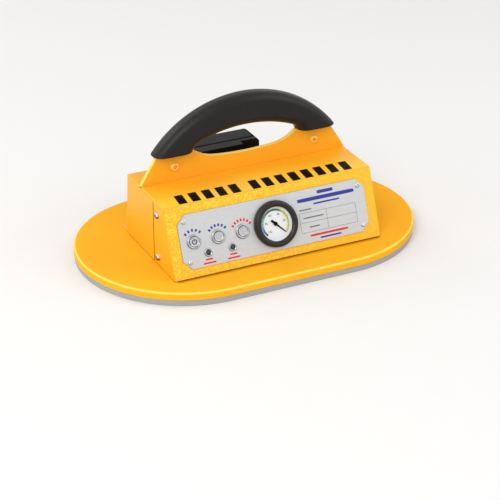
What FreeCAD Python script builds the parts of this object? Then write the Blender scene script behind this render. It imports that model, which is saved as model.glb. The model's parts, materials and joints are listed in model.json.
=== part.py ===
"""Battery vacuum lifter: a suction plate with a pump housing, a lifting handle and a slide-on battery.

The origin is the middle of the seal's underside. X runs to the right, Y to the rear, Z up.
All sizes are in millimetres, and heights of the housing are counted from the top of the base plate.
"""
import FreeCAD
import Part
import math
import os

from FreeCAD import Vector

# Base plate and seal
PLATE_LENGTH = 444.0
PLATE_WIDTH = 278.0
PLATE_THICKNESS = 9.6
PLATE_RIM_RADIUS = 3.5
SEAL_HEIGHT = 7.9
SEAL_WIDTH = 28.0
SEAL_INSET = 1.0
SEAL_RIB_WIDTH = 10.0
SEAL_RIB_HEIGHT = 2.5
SEAL_CHANNEL_WIDTH = 9.0
SEAL_CHANNEL_DEPTH = 3.0
PORT_DIAMETER = 8.0
FILTER_DIAMETER = 40.0
FILTER_THICKNESS = 3.0

# Sheet housing, seen from the side: a sloped front, a flat top and a slightly leaning rear wall
HOUSING_LENGTH = 280.0
HOUSING_HEIGHT = 82.5
FRONT_FOOT_Y = -97.4
FRONT_LEAN = 33.6
REAR_FOOT_Y = 54.3
REAR_LEAN = 8.0
SHEET = 2.0
BEND_RADIUS = 2.0
SIDE_SEAM_Y = -35.0
SEAM_GAP = 0.5
COVER_FOOT_GAP = 1.0
TAB_REACH = 23.0
TAB_LAP = 15.0
TAB_MARGIN = 5.0
REAR_FLANGE = 15.3
FLANGE_SCREW_INSET = 15.0
FLANGE_SCREW_PITCH = 50.0
COVER_SCREW_SETBACK = 12.0
COVER_SCREW_HEIGHTS = (10.9, 67.0)
VENT_COUNT = 5
VENT_PITCH = 9.0
VENT_WIDTH = 3.5
VENT_LENGTH = 30.0

# Lifting bracket and grip
BRACKET_THICKNESS = 6.0
BRACKET_FRONT_Y = 2.6
BRACKET_EDGE_INSET = 0.5
BRACKET_WEB_GAP = 1.0
BRACKET_SHOULDER = 117.0
BRACKET_FOOT_DEPTH = 32.0
BRACKET_BEND = 6.0
OPENING_HALF_WIDTH = 70.5
OPENING_SILL_RISE = 20.5
SILL_FLAT_HALF = 40.0
SILL_FLAT_DIP = 2.2
GRIP_FOOT_RISE = 36.5
GRIP_CROWN_RISE = 62.0
GRIP_ARCH_RADIUS = 154.0
GRIP_CROWN_DEPTH = 40.5
GRIP_UNDERSIDE_RADIUS = 170.0
GRIP_HEEL_RADIUS = 14.0
GRIP_HEEL_GAP = 1.5
GRIP_THICKNESS = 30.0
GRIP_CORNER_RADIUS = 11.0
GRIP_OVERRUN = 8.0
GRIP_COVER = 9.0
GRIP_CLEARANCE = 0.2
TIE_BOLT_X = 95.2
TIE_BOLT_RISE = 19.1
TIE_TAB_WIDTH = 32.0
TIE_TAB_ABOVE = 11.0
FOOT_BOLT_X = (45.0, 110.0)

# Control panel on the sloped front, u to the right and v up the slope from the housing's foot
PANEL_SIDE_MARGIN = 14.0
PANEL_BOTTOM_V = 11.0
PANEL_TOP_V = 77.5
PANEL_CORNER_CUT = 10.8
PANEL_THICKNESS = 1.2
PANEL_SCREW_INSET = 8.5
BUTTON_EDGE_GAP = 17.6
BUTTON_GAUGE_GAP = 6.4
BUTTON_V = 43.4
LAMP_V = 27.3
GAUGE_V = 43.8

# Push buttons and lamps
BUTTON_FLANGE_DIAMETER = 18.0
BUTTON_FLANGE_HEIGHT = 2.0
BUTTON_FLANGE_EDGE = 0.6
BUTTON_BARREL_DIAMETER = 16.0
BUTTON_BARREL_LENGTH = 24.0
BUTTON_CAP_DIAMETER = 12.6
BUTTON_CAP_THICKNESS = 2.6
BUTTON_CAP_PROUD = 0.4
BUTTON_TRAVEL = 1.5
BUTTON_STEM_DIAMETER = 6.0
BUTTON_STEM_LENGTH = 9.0
BUTTON_NUT_ACROSS = 20.0
LAMP_FLANGE_DIAMETER = 10.5
LAMP_FLANGE_HEIGHT = 1.6
LAMP_FLANGE_EDGE = 0.8
LAMP_BARREL_DIAMETER = 8.0
LAMP_BARREL_LENGTH = 18.0
LAMP_LENS_DIAMETER = 6.0
LAMP_LENS_DOME = 1.2
LAMP_NUT_ACROSS = 11.0
PANEL_NUT_THICKNESS = 3.5

# Vacuum gauge
GAUGE_CASE_DIAMETER = 50.0
GAUGE_CASE_DEPTH = 26.0
GAUGE_WALL = 2.0
GAUGE_BEZEL_DIAMETER = 57.6
GAUGE_LIP = 1.0
GAUGE_CROWN = 2.0
GAUGE_WINDOW_DIAMETER = 42.0
GAUGE_LENS_THICKNESS = 2.0
GAUGE_RING_WALL = 1.6
GAUGE_DIAL_THICKNESS = 0.8
POINTER_LENGTH = 17.0
POINTER_TAIL = 7.0
POINTER_WIDTH = 1.8
POINTER_THICKNESS = 0.8
POINTER_LIFT = 1.2
POINTER_HUB_DIAMETER = 5.0
POINTER_SPINDLE_DIAMETER = 2.0
POINTER_SPINDLE_LENGTH = 10.0
POINTER_REST_ANGLE = 135.0
GAUGE_RING_NUT_WIDTH = 4.5
GAUGE_STEM_HEX = 14.0
GAUGE_STEM_LENGTH = 6.0

# Vacuum line
MANIFOLD_WIDTH = 38.0
MANIFOLD_HEIGHT = 30.0
MANIFOLD_REAR_GAP = 8.0
MANIFOLD_SCREW_INSET = 6.0
PORT_SETBACK = 16.0
LINE_HEIGHT = 19.0
BARB_DIAMETER = 6.0
BARB_LENGTH = 7.0
BARB_RIDGE = 0.1
BARB_RIDGES = 2
BARB_GAP = 3.0
HOSE_FIT = 0.05
HOSE_WALL = 1.9
CHECK_VALVE_DIAMETER = 14.0
CHECK_VALVE_LENGTH = 6.0
RELEASE_VALVE_DIAMETER = 16.0
RELEASE_VALVE_HEIGHT = 28.0
RELEASE_NOZZLE_DIAMETER = 5.4
RELEASE_NOZZLE_LENGTH = 7.0

# Rotary vane pump and its motor, axis along X
PUMP_AXIS_Y = -40.0
PUMP_AXIS_HEIGHT = 33.0
PUMP_DIAMETER = 54.0
PUMP_COVER_THICKNESS = 6.0
PUMP_INLET_DEPTH = 3.0
PUMP_BOSS_DIAMETER = 14.0
PUMP_BOSS_HEIGHT = 2.0
CHAMBER_DIAMETER = 36.0
CHAMBER_LENGTH = 24.0
ROTOR_DIAMETER = 30.0
SHAFT_DIAMETER = 8.0
SHAFT_REACH = 12.0
STUB_REACH = 4.0
VANE_COUNT = 4
VANE_THICKNESS = 3.0
VANE_HEIGHT = 8.0
PUMP_BACK_THICKNESS = 5.0
MOTOR_DIAMETER = 42.0
MOTOR_LENGTH = 46.0
MOTOR_CAP_DIAMETER = 33.6
MOTOR_CAP_LENGTH = 7.6
MOTOR_END_GAP = 4.0
SADDLE_WIDTH = 40.0
SADDLE_FOOT_WIDTH = 62.0
SADDLE_FOOT_THICKNESS = 4.0
SADDLE_SCREW_INSET = 4.8
SADDLE_HORN_DROP = 13.5
SILENCER_DIAMETER = 12.0
SILENCER_HEIGHT = 14.0
SILENCER_STUB_DIAMETER = 6.0
SILENCER_STUB_LENGTH = 4.0

# Control board on the front of the bracket web
BOARD_WIDTH = 80.0
BOARD_HEIGHT = 56.0
BOARD_THICKNESS = 1.6
BOARD_LEFT_MARGIN = 12.0
BOARD_BASE_HEIGHT = 12.0
STANDOFF_LENGTH = 8.0
STANDOFF_DIAMETER = 6.0
STANDOFF_INSET = 6.0
COMPONENT_HEIGHT = 8.0

# Battery and its dock on the rear wall, sliding off along X
BATTERY_LENGTH = 115.0
BATTERY_HEIGHT = 75.0
BATTERY_DEPTH = 48.5
BATTERY_CENTRE_HEIGHT = 42.5
BATTERY_CORNER_RADIUS = 6.0
BATTERY_SEAM_SETBACK = 7.0
BATTERY_SEAM_WIDTH = 3.0
BATTERY_SEAM_DEPTH = 1.5
DOCK_LENGTH = 100.0
DOCK_HEIGHT = 56.0
DOCK_DEPTH = 15.7
DOCK_END_WALL = 6.0
DOCK_SCREW_INSET_X = 8.0
DOCK_SCREW_INSET_Z = 4.0
NECK_HEIGHT = 30.0
NECK_DEPTH = 7.0
HEAD_HEIGHT = 40.0
HEAD_DEPTH = 5.0
TONGUE_LENGTH = 76.0
SLIDE_CLEARANCE = 0.4
BLADE_LENGTH = 22.0
BLADE_THICKNESS = 1.0
BLADE_SPACING = 16.0
BLADE_DEPTH = 7.0
LATCH_WIDTH = 48.0
LATCH_LENGTH = 19.0
LATCH_BAR = 5.0
LATCH_TRAVEL = 3.5
THUMB_NOTCH_LENGTH = 27.0
PRONG_WIDTH = 6.0
PRONG_LENGTH = 6.0

# Fasteners: shank, head and nut sizes of each kind
M3 = {"shank": 3.0, "head": 5.5, "head_height": 1.8}
M4 = {"shank": 4.0, "head": 7.6, "head_height": 2.6}
M5 = {"shank": 5.0, "head": 8.5, "head_height": 3.0}
M6 = {"shank": 6.0, "head": 10.5, "head_height": 3.3, "nut": 10.0, "nut_height": 5.0}
M8 = {"shank": 8.0, "head": 13.0, "head_height": 8.0}
SCREW_CROWN = 0.65
SCREW_BITE = 6.5
HOLE_TIP = 0.5

# Clearances
FIT = 0.05
CUT_MARGIN = 1.0
HOLE_CLEARANCE = 0.2
RUNNING_GAP = 0.3
SEAL_CLEARANCE = 0.2
ROTOR_END_GAP = 0.3

# Values worked out from the sizes above
PLATE_BOTTOM = SEAL_HEIGHT
PLATE_TOP = PLATE_BOTTOM + PLATE_THICKNESS
HALF_LENGTH = HOUSING_LENGTH / 2
PANEL_HALF_WIDTH = HALF_LENGTH - PANEL_SIDE_MARGIN
HOUSING_TOP = PLATE_TOP + HOUSING_HEIGHT
FRONT_SLOPE = math.hypot(FRONT_LEAN, HOUSING_HEIGHT)
REAR_SLOPE = math.hypot(REAR_LEAN, HOUSING_HEIGHT)
U_AXIS = Vector(1, 0, 0)
V_AXIS = Vector(0, FRONT_LEAN / FRONT_SLOPE, HOUSING_HEIGHT / FRONT_SLOPE)
OUTWARD = Vector(0, -HOUSING_HEIGHT / FRONT_SLOPE, FRONT_LEAN / FRONT_SLOPE)
BACKWARD = Vector(0, HOUSING_HEIGHT / REAR_SLOPE, REAR_LEAN / REAR_SLOPE)
BRACKET_REAR_Y = BRACKET_FRONT_Y + BRACKET_THICKNESS
BRACKET_MID_Y = BRACKET_FRONT_Y + BRACKET_THICKNESS / 2
GRIP_FOOT_Z = HOUSING_TOP + GRIP_FOOT_RISE
GRIP_CENTRE_Z = GRIP_FOOT_Z + GRIP_CROWN_RISE - GRIP_ARCH_RADIUS
ARCH_OUTER = GRIP_ARCH_RADIUS - GRIP_COVER
ARCH_INNER = GRIP_ARCH_RADIUS - GRIP_CROWN_DEPTH + GRIP_COVER
PORT_Y = BRACKET_FRONT_Y - MANIFOLD_REAR_GAP - PORT_SETBACK
LINE_Z = PLATE_TOP + LINE_HEIGHT
PUMP_Z = PLATE_TOP + PUMP_AXIS_HEIGHT
MOTOR_RIGHT_X = HALF_LENGTH - SHEET - MOTOR_END_GAP
MOTOR_LEFT_X = MOTOR_RIGHT_X - MOTOR_LENGTH
CHAMBER_RIGHT_X = MOTOR_LEFT_X - PUMP_BACK_THICKNESS
CHAMBER_LEFT_X = CHAMBER_RIGHT_X - CHAMBER_LENGTH
PUMP_LEFT_X = CHAMBER_LEFT_X - PUMP_COVER_THICKNESS
DOCK_FACE_Y = REAR_FOOT_Y + DOCK_DEPTH
CASE_FRONT_Y = DOCK_FACE_Y + SLIDE_CLEARANCE
BATTERY_Z = PLATE_TOP + BATTERY_CENTRE_HEIGHT
BUTTON_NAMES = ("power", "vacuum", "release")
BUTTON_LAST_U = -(GAUGE_BEZEL_DIAMETER + BUTTON_FLANGE_DIAMETER) / 2 - BUTTON_GAUGE_GAP
BUTTON_PITCH = (BUTTON_LAST_U + PANEL_HALF_WIDTH - BUTTON_EDGE_GAP) / (len(BUTTON_NAMES) - 1)
BUTTON_US = [BUTTON_LAST_U - BUTTON_PITCH * index for index in reversed(range(len(BUTTON_NAMES)))]
LAMP_NAMES = ("low_vacuum", "low_battery")
LAMP_US = [u + BUTTON_PITCH / 2 for u in BUTTON_US[:len(LAMP_NAMES)]]
STEM_TIP_LIFT = -(GAUGE_CASE_DEPTH + GAUGE_STEM_LENGTH + BARB_LENGTH)
MANIFOLD_FACE_LIFT = STEM_TIP_LIFT - BARB_GAP - BARB_LENGTH
MANIFOLD_REAR_Y = BRACKET_FRONT_Y - MANIFOLD_REAR_GAP


def box(x0, x1, y0, y1, z0, z1):
    """Return a block between two values on each axis."""
    return Part.makeBox(x1 - x0, y1 - y0, z1 - z0, Vector(x0, y0, z0))


def rod(diameter, start, axis, length):
    """Return a round rod from a start point along an axis."""
    return Part.makeCylinder(diameter / 2, length, start, axis)


def prism(points, path):
    """Return the solid that a closed outline of points sweeps along a path."""
    outline = Part.makePolygon(points + points[:1])
    return Part.Face(outline).extrude(path)


def side_prism(profile, x0, x1):
    """Return a profile of (y, z) points drawn out along X."""
    points = [Vector(x0, y, z) for y, z in profile]
    return prism(points, Vector(x1 - x0, 0, 0))


def turned(profile, start, axis):
    """Return the solid that a profile of (radius, height) points sweeps about an axis."""
    points = [Vector(radius, 0, height) for radius, height in profile]
    outline = Part.makePolygon(points + points[:1])
    solid = Part.Face(outline).revolve(Vector(0, 0, 0), Vector(0, 0, 1), 360)
    solid.Placement = FreeCAD.Placement(start, FreeCAD.Rotation(Vector(0, 0, 1), axis))
    return solid


def revolved(points, arc_middle, start, axis):
    """Return a turned solid whose outline is closed by an arc from the last point to the first."""
    arc = Part.Arc(points[-1], arc_middle, points[0]).toShape()
    outline = Part.Wire(Part.makePolygon(points).Edges + [arc])
    solid = Part.Face(outline).revolve(Vector(0, 0, 0), Vector(0, 0, 1), 360)
    solid.Placement = FreeCAD.Placement(start, FreeCAD.Rotation(Vector(0, 0, 1), axis))
    return solid


def hexagon(across, start, axis, length):
    """Return a hexagonal bar of a width across flats."""
    radius = across / math.sqrt(3)
    turns = [math.radians(60 * corner) for corner in range(6)]
    points = [Vector(radius * math.cos(turn), radius * math.sin(turn), 0) for turn in turns]
    bar = prism(points, Vector(0, 0, length))
    bar.Placement = FreeCAD.Placement(start, FreeCAD.Rotation(Vector(0, 0, 1), axis))
    return bar


def joined(solids):
    """Return one solid made of touching solids."""
    return solids[0].multiFuse(solids[1:]).removeSplitter()


def screw(kind, seat, axis, length):
    """Return a domed screw whose head rests on the seat and whose shank runs along the axis."""
    head = kind["head"] / 2
    height = kind["head_height"]
    shank = kind["shank"] / 2
    crown = head * SCREW_CROWN
    profile = [(0, -height), (crown, -height), (head, -height / 2), (head, 0)]
    profile += [(shank, 0), (shank, length), (0, length)]
    return turned(profile, seat, axis)


def tapped_hole(kind, mouth, axis, depth):
    """Return the hole that takes a screw's shank with a close fit."""
    return rod(kind["shank"] + 2 * FIT, mouth, axis, depth)


def clear_hole(kind, start, axis, length):
    """Return the hole that a screw passes freely."""
    return rod(kind["shank"] + 2 * HOLE_CLEARANCE, start, axis, length)


def on_panel(u, v, lift):
    """Return the point at u and v on the sloped front, lifted off its outer face."""
    return Vector(0, FRONT_FOOT_Y, PLATE_TOP) + U_AXIS * u + V_AXIS * v + OUTWARD * lift


def panel_rod(diameter, u, v, low, high):
    """Return a rod square to the sloped front between two lifts."""
    return rod(diameter, on_panel(u, v, low), OUTWARD, high - low)


def stadium(inset, base, height):
    """Return the base plate's round-ended outline, drawn in by an inset, as a slab."""
    half = (PLATE_LENGTH - PLATE_WIDTH) / 2
    radius = PLATE_WIDTH / 2 - inset
    corners = [Vector(side * half, end * radius, base) for side, end in ((-1, -1), (1, -1), (1, 1), (-1, 1))]
    edges = [
        Part.LineSegment(corners[0], corners[1]),
        Part.Arc(corners[1], Vector(half + radius, 0, base), corners[2]),
        Part.LineSegment(corners[2], corners[3]),
        Part.Arc(corners[3], Vector(-half - radius, 0, base), corners[0]),
    ]
    outline = Part.Wire([edge.toShape() for edge in edges])
    return Part.Face(outline).extrude(Vector(0, 0, height))


def stadium_ring(inset, width, base, height):
    """Return a band that follows the base plate's outline."""
    return stadium(inset, base, height).cut(stadium(inset + width, base, height))


def foot_bolt_points():
    """Return where the bracket's foot is bolted to the base plate."""
    y = BRACKET_REAR_Y + BRACKET_FOOT_DEPTH / 2
    return [Vector(side * x, y, PLATE_TOP) for side in (-1, 1) for x in FOOT_BOLT_X]


def flange_screw_points():
    """Return where the rear cover's flange is screwed to the base plate."""
    y = REAR_FOOT_Y + REAR_FLANGE / 2
    outer = HALF_LENGTH - FLANGE_SCREW_INSET
    return [Vector(side * x, y, PLATE_TOP) for side in (-1, 1) for x in (outer - FLANGE_SCREW_PITCH, outer)]


def manifold_screw_points():
    """Return where the manifold is screwed to the base plate."""
    x = MANIFOLD_WIDTH / 2 - MANIFOLD_SCREW_INSET
    y = MANIFOLD_REAR_Y - MANIFOLD_SCREW_INSET
    return [Vector(side * x, y, PLATE_TOP) for side in (-1, 1)]


def saddle_screw_points():
    """Return where the pump saddle is screwed to the base plate."""
    x = (CHAMBER_LEFT_X + CHAMBER_RIGHT_X) / 2
    reach = SADDLE_FOOT_WIDTH / 2 - SADDLE_SCREW_INSET
    return [Vector(x, PUMP_AXIS_Y + side * reach, PLATE_TOP) for side in (-1, 1)]


def base_plate():
    """Return the suction plate with its rounded rim, seal groove, suction port and blind tapped holes."""
    plate = stadium(0, PLATE_BOTTOM, PLATE_THICKNESS)
    rim = [edge for edge in plate.Edges if edge.BoundBox.ZMin > PLATE_TOP - FIT]
    plate = plate.makeFillet(PLATE_RIM_RADIUS, rim)
    groove_inset = SEAL_INSET + (SEAL_WIDTH - SEAL_RIB_WIDTH) / 2 - SEAL_CLEARANCE
    groove_width = SEAL_RIB_WIDTH + 2 * SEAL_CLEARANCE
    cuts = [stadium_ring(groove_inset, groove_width, PLATE_BOTTOM, SEAL_RIB_HEIGHT + SEAL_CLEARANCE)]
    port = Vector(0, PORT_Y, PLATE_BOTTOM)
    up = Vector(0, 0, 1)
    down = Vector(0, 0, -1)
    cuts.append(rod(PORT_DIAMETER, port, up, PLATE_THICKNESS))
    cuts.append(rod(FILTER_DIAMETER + 2 * FIT, port, up, FILTER_THICKNESS))
    depth = SCREW_BITE + HOLE_TIP
    cuts += [tapped_hole(M8, point, down, depth) for point in foot_bolt_points()]
    cuts += [tapped_hole(M5, point, down, depth) for point in flange_screw_points()]
    cuts += [tapped_hole(M4, point, down, depth) for point in manifold_screw_points()]
    cuts += [tapped_hole(M5, point, down, depth) for point in saddle_screw_points()]
    return plate.cut(cuts)


def seal_ring():
    """Return the rubber seal: a band keyed into the plate by a rib, with two lips below."""
    band = stadium_ring(SEAL_INSET, SEAL_WIDTH, 0, SEAL_HEIGHT)
    rib_inset = SEAL_INSET + (SEAL_WIDTH - SEAL_RIB_WIDTH) / 2
    rib = stadium_ring(rib_inset, SEAL_RIB_WIDTH, SEAL_HEIGHT, SEAL_RIB_HEIGHT)
    channel_inset = SEAL_INSET + (SEAL_WIDTH - SEAL_CHANNEL_WIDTH) / 2
    channel = stadium_ring(channel_inset, SEAL_CHANNEL_WIDTH, 0, SEAL_CHANNEL_DEPTH)
    return joined([band, rib]).cut(channel)


def suction_filter():
    """Return the sintered disc that keeps grit out of the suction port."""
    return rod(FILTER_DIAMETER, Vector(0, PORT_Y, PLATE_BOTTOM), Vector(0, 0, 1), FILTER_THICKNESS)


def tangent_arc(start, along, end):
    """Return the arc in a vertical plane that leaves the start along a direction and meets the end."""
    along = Vector(along).normalize()
    across = along.cross(Vector(0, 1, 0))
    chord = end - start
    radius = chord.dot(chord) / (2 * chord.dot(across))
    centre = start + across * radius
    middle = (start + end) * 0.5 - centre
    middle = centre + middle.normalize() * abs(radius)
    return Part.Arc(start, middle, end)


def bracket_web():
    """Return the upright plate from the base plate to the grip's feet, with the sill of the opening."""
    inner = HALF_LENGTH - SHEET - BRACKET_WEB_GAP
    outer = HALF_LENGTH - BRACKET_EDGE_INSET
    sill = HOUSING_TOP + OPENING_SILL_RISE
    y = BRACKET_FRONT_Y

    def at(x, z):
        return Vector(x, y, z)

    flat_end = at(SILL_FLAT_HALF, sill + SILL_FLAT_DIP)
    sill_radius = (SILL_FLAT_HALF ** 2 + SILL_FLAT_DIP ** 2) / (2 * SILL_FLAT_DIP)
    slope = math.asin(SILL_FLAT_HALF / sill_radius)
    rising = Vector(math.cos(slope), 0, math.sin(slope))
    right = tangent_arc(flat_end, rising, at(OPENING_HALF_WIDTH, GRIP_FOOT_Z))
    flat_start = at(-SILL_FLAT_HALF, sill + SILL_FLAT_DIP)
    falling = Vector(-math.cos(slope), 0, math.sin(slope))
    left = tangent_arc(flat_start, falling, at(-OPENING_HALF_WIDTH, GRIP_FOOT_Z))
    top = HOUSING_TOP + COVER_FOOT_GAP / 2
    side = [
        at(OPENING_HALF_WIDTH, GRIP_FOOT_Z),
        at(BRACKET_SHOULDER, GRIP_FOOT_Z),
        at(outer, top),
        at(inner, top),
        at(inner, PLATE_TOP),
    ]
    ring = side + [Vector(-point.x, point.y, point.z) for point in reversed(side)]
    edges = [Part.LineSegment(first, second) for first, second in zip(ring, ring[1:])]
    edges += [left, Part.Arc(flat_start, at(0, sill), flat_end), right]
    outline = Part.Wire(Part.__sortEdges__([edge.toShape() for edge in edges]))
    return Part.Face(outline).extrude(Vector(0, BRACKET_THICKNESS, 0))


def arch(outer, inner, half_thickness):
    """Return the round band of the handle above the grip's feet."""
    start = Vector(0, BRACKET_MID_Y - half_thickness, GRIP_CENTRE_Z)
    along = Vector(0, 1, 0)
    band = rod(2 * outer, start, along, 2 * half_thickness)
    band = band.cut(rod(2 * inner, start, along, 2 * half_thickness))
    reach = GRIP_ARCH_RADIUS
    upper = box(-reach, reach, BRACKET_MID_Y - reach, BRACKET_MID_Y + reach, GRIP_FOOT_Z, GRIP_FOOT_Z + reach)
    return band.common(upper)


def tie_bolt_points(y):
    """Return where the bracket and the rear cover are bolted together, at a depth."""
    z = HOUSING_TOP + TIE_BOLT_RISE
    return [Vector(side * TIE_BOLT_X, y, z) for side in (-1, 1)]


def handle_bracket():
    """Return the lifting bracket: web, bolted foot and the arch that the grip covers."""
    inner = HALF_LENGTH - SHEET - BRACKET_WEB_GAP
    foot_rear = BRACKET_REAR_Y + BRACKET_FOOT_DEPTH
    foot = box(-inner, inner, BRACKET_FRONT_Y, foot_rear, PLATE_TOP, PLATE_TOP + BRACKET_THICKNESS)
    band = arch(ARCH_OUTER, ARCH_INNER, BRACKET_THICKNESS / 2)
    bracket = joined([bracket_web(), foot, band])
    bend = Vector(0, BRACKET_REAR_Y, PLATE_TOP + BRACKET_THICKNESS)
    bends = [edge for edge in bracket.Edges if edge.isInside(bend, FIT, True)]
    bracket = bracket.makeFillet(BRACKET_BEND, bends)
    along = Vector(0, 1, 0)
    cuts = [clear_hole(M6, point, along, BRACKET_THICKNESS) for point in tie_bolt_points(BRACKET_FRONT_Y)]
    cuts += [clear_hole(M8, point, Vector(0, 0, 1), BRACKET_THICKNESS) for point in foot_bolt_points()]
    return bracket.cut(cuts)


def underside_centre():
    """Return the height of the centre of the grip's underside arc."""
    return GRIP_CENTRE_Z + GRIP_ARCH_RADIUS - GRIP_CROWN_DEPTH - GRIP_UNDERSIDE_RADIUS


def heel_turn():
    """Return the angle from the crown at which the grip's underside turns down to its feet."""
    reach = GRIP_UNDERSIDE_RADIUS - GRIP_HEEL_RADIUS
    return math.asin((OPENING_HALF_WIDTH + GRIP_HEEL_GAP - GRIP_HEEL_RADIUS) / reach)


def heel_centre(side):
    """Return the (x, z) centre of the arc that turns the underside down to one foot."""
    reach = GRIP_UNDERSIDE_RADIUS - GRIP_HEEL_RADIUS
    return side * reach * math.sin(heel_turn()), underside_centre() + reach * math.cos(heel_turn())


def arc_points(radius, centre, turns):
    """Return points on an arc in the plane of the grip's front face, at angles from straight up."""
    x, z = centre
    front = BRACKET_MID_Y - GRIP_THICKNESS / 2
    return [Vector(x + radius * math.sin(turn), front, z + radius * math.cos(turn)) for turn in turns]


def crescent():
    """Return the grip's side outline, from past one foot to past the other, as a face at the grip's front."""
    reach = math.acos((GRIP_FOOT_Z - GRIP_CENTRE_Z) / GRIP_ARCH_RADIUS) + math.radians(GRIP_OVERRUN)
    over = arc_points(GRIP_ARCH_RADIUS, (0, GRIP_CENTRE_Z), (-reach, 0, reach))
    bend = heel_turn()
    down = math.pi / 2
    middle = (bend + down) / 2
    right = arc_points(GRIP_HEEL_RADIUS, heel_centre(1), (down, middle, bend))
    under = arc_points(GRIP_UNDERSIDE_RADIUS, (0, underside_centre()), (bend, 0, -bend))
    left = arc_points(GRIP_HEEL_RADIUS, heel_centre(-1), (-bend, -middle, -down))
    edges = [Part.Arc(*points) for points in (over, right, under, left)]
    edges += [Part.LineSegment(over[2], right[0]), Part.LineSegment(left[2], over[0])]
    return Part.Face(Part.Wire(Part.__sortEdges__([edge.toShape() for edge in edges])))


def edge_cutter(radius, centre, inward, side, turns):
    """Return the part of a ring that rounds one long edge of the grip between two angles from straight up.

    The edge follows an arc of the radius about the (x, z) centre. Inward is 1 where the grip lies outside
    that arc and -1 where it lies inside, and side is -1 for the front face and 1 for the rear face.
    """
    round_off = GRIP_CORNER_RADIUS
    deep = radius + inward * round_off
    clear = radius - inward * CUT_MARGIN
    places = [(deep, 0), (deep, -CUT_MARGIN), (clear, -CUT_MARGIN), (clear, round_off), (radius, round_off)]
    points = [Vector(reach, 0, depth) for reach, depth in places]
    bend = round_off * (1 - math.sqrt(0.5))
    face = Vector(centre[0], BRACKET_MID_Y + side * GRIP_THICKNESS / 2, centre[1])
    ring = revolved(points, Vector(radius + inward * bend, 0, bend), face, Vector(0, -side, 0))
    first, last = arc_points(2 * deep, centre, turns)
    middle = arc_points(2 * deep, centre, [sum(turns) / 2])
    start = arc_points(0, centre, [0])
    margin = Vector(0, CUT_MARGIN, 0)
    wedge = prism([point - margin for point in start + [first] + middle + [last]],
                  Vector(0, GRIP_THICKNESS, 0) + margin * 2)
    return ring.common(wedge)


def handle_grip():
    """Return the moulded grip: a rounded crescent, cut flat at its feet and slotted for the arch."""
    reach = GRIP_ARCH_RADIUS
    bend = heel_turn()
    down = math.pi / 2
    cuts = [box(-reach, reach, -reach, reach, GRIP_CENTRE_Z, GRIP_FOOT_Z)]
    for side in (-1, 1):
        cuts.append(edge_cutter(GRIP_ARCH_RADIUS, (0, GRIP_CENTRE_Z), -1, side, (-down, down)))
        cuts.append(edge_cutter(GRIP_UNDERSIDE_RADIUS, (0, underside_centre()), 1, side, (-bend, bend)))
        cuts.append(edge_cutter(GRIP_HEEL_RADIUS, heel_centre(1), 1, side, (bend, down)))
        cuts.append(edge_cutter(GRIP_HEEL_RADIUS, heel_centre(-1), 1, side, (-down, -bend)))
    half_slot = BRACKET_THICKNESS / 2 + GRIP_CLEARANCE
    cuts.append(arch(ARCH_OUTER + GRIP_CLEARANCE, ARCH_INNER - GRIP_CLEARANCE, half_slot))
    return crescent().extrude(Vector(0, GRIP_THICKNESS, 0)).cut(cuts)


def screws_at(kind, points, axis, length):
    """Return a group of equal screws."""
    return Part.makeCompound([screw(kind, point, axis, length) for point in points])


def foot_bolts():
    """Return the bolts that hold the bracket to the base plate."""
    lift = Vector(0, 0, BRACKET_THICKNESS)
    seats = [point + lift for point in foot_bolt_points()]
    return screws_at(M8, seats, Vector(0, 0, -1), BRACKET_THICKNESS + SCREW_BITE)


def tie_bolts():
    """Return the two bolts through the bracket and the rear cover's upstands."""
    length = BRACKET_THICKNESS + SHEET + M6["nut_height"] + HOLE_TIP
    return screws_at(M6, tie_bolt_points(BRACKET_FRONT_Y), Vector(0, 1, 0), length)


def tie_nuts():
    """Return the nuts behind the rear cover's upstands."""
    along = Vector(0, 1, 0)
    height = M6["nut_height"]
    nuts = []
    for point in tie_bolt_points(BRACKET_REAR_Y + SHEET):
        nut = hexagon(M6["nut"], point, along, height)
        nuts.append(nut.cut(tapped_hole(M6, point, along, height)))
    return Part.makeCompound(nuts)


def housing_profile(inset, base):
    """Return the housing's side outline as (y, z) points, drawn in by an inset, from a base height."""
    top = HOUSING_HEIGHT - inset
    front_shift = inset * FRONT_SLOPE / HOUSING_HEIGHT
    rear_shift = inset * REAR_SLOPE / HOUSING_HEIGHT

    def front(height):
        return FRONT_FOOT_Y + front_shift + FRONT_LEAN * height / HOUSING_HEIGHT

    def rear(height):
        return REAR_FOOT_Y - rear_shift - REAR_LEAN * height / HOUSING_HEIGHT

    outline = [(front(base), base), (rear(base), base), (rear(top), top), (front(top), top)]
    return [(y, z + PLATE_TOP) for y, z in outline]


def housing_shell():
    """Return the whole folded sheet housing, open below."""
    outer = side_prism(housing_profile(0, COVER_FOOT_GAP), -HALF_LENGTH, HALF_LENGTH)
    foot = PLATE_TOP + COVER_FOOT_GAP
    folds = [edge for edge in outer.Edges if edge.BoundBox.ZMax > foot + FIT]
    outer = outer.makeFillet(BEND_RADIUS, folds)
    end = HALF_LENGTH - SHEET
    return outer.cut(side_prism(housing_profile(SHEET, -COVER_FOOT_GAP), -end, end))


def panel_cutouts(low, high, clearance):
    """Return the holes for the gauge, buttons and lamps between two lifts."""
    gauge = GAUGE_CASE_DIAMETER + 2 * clearance
    button = BUTTON_BARREL_DIAMETER + 2 * clearance
    lamp = LAMP_BARREL_DIAMETER + 2 * clearance
    holes = [panel_rod(gauge, 0, GAUGE_V, low, high)]
    holes += [panel_rod(button, u, BUTTON_V, low, high) for u in BUTTON_US]
    holes += [panel_rod(lamp, u, LAMP_V, low, high) for u in LAMP_US]
    return holes


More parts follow.
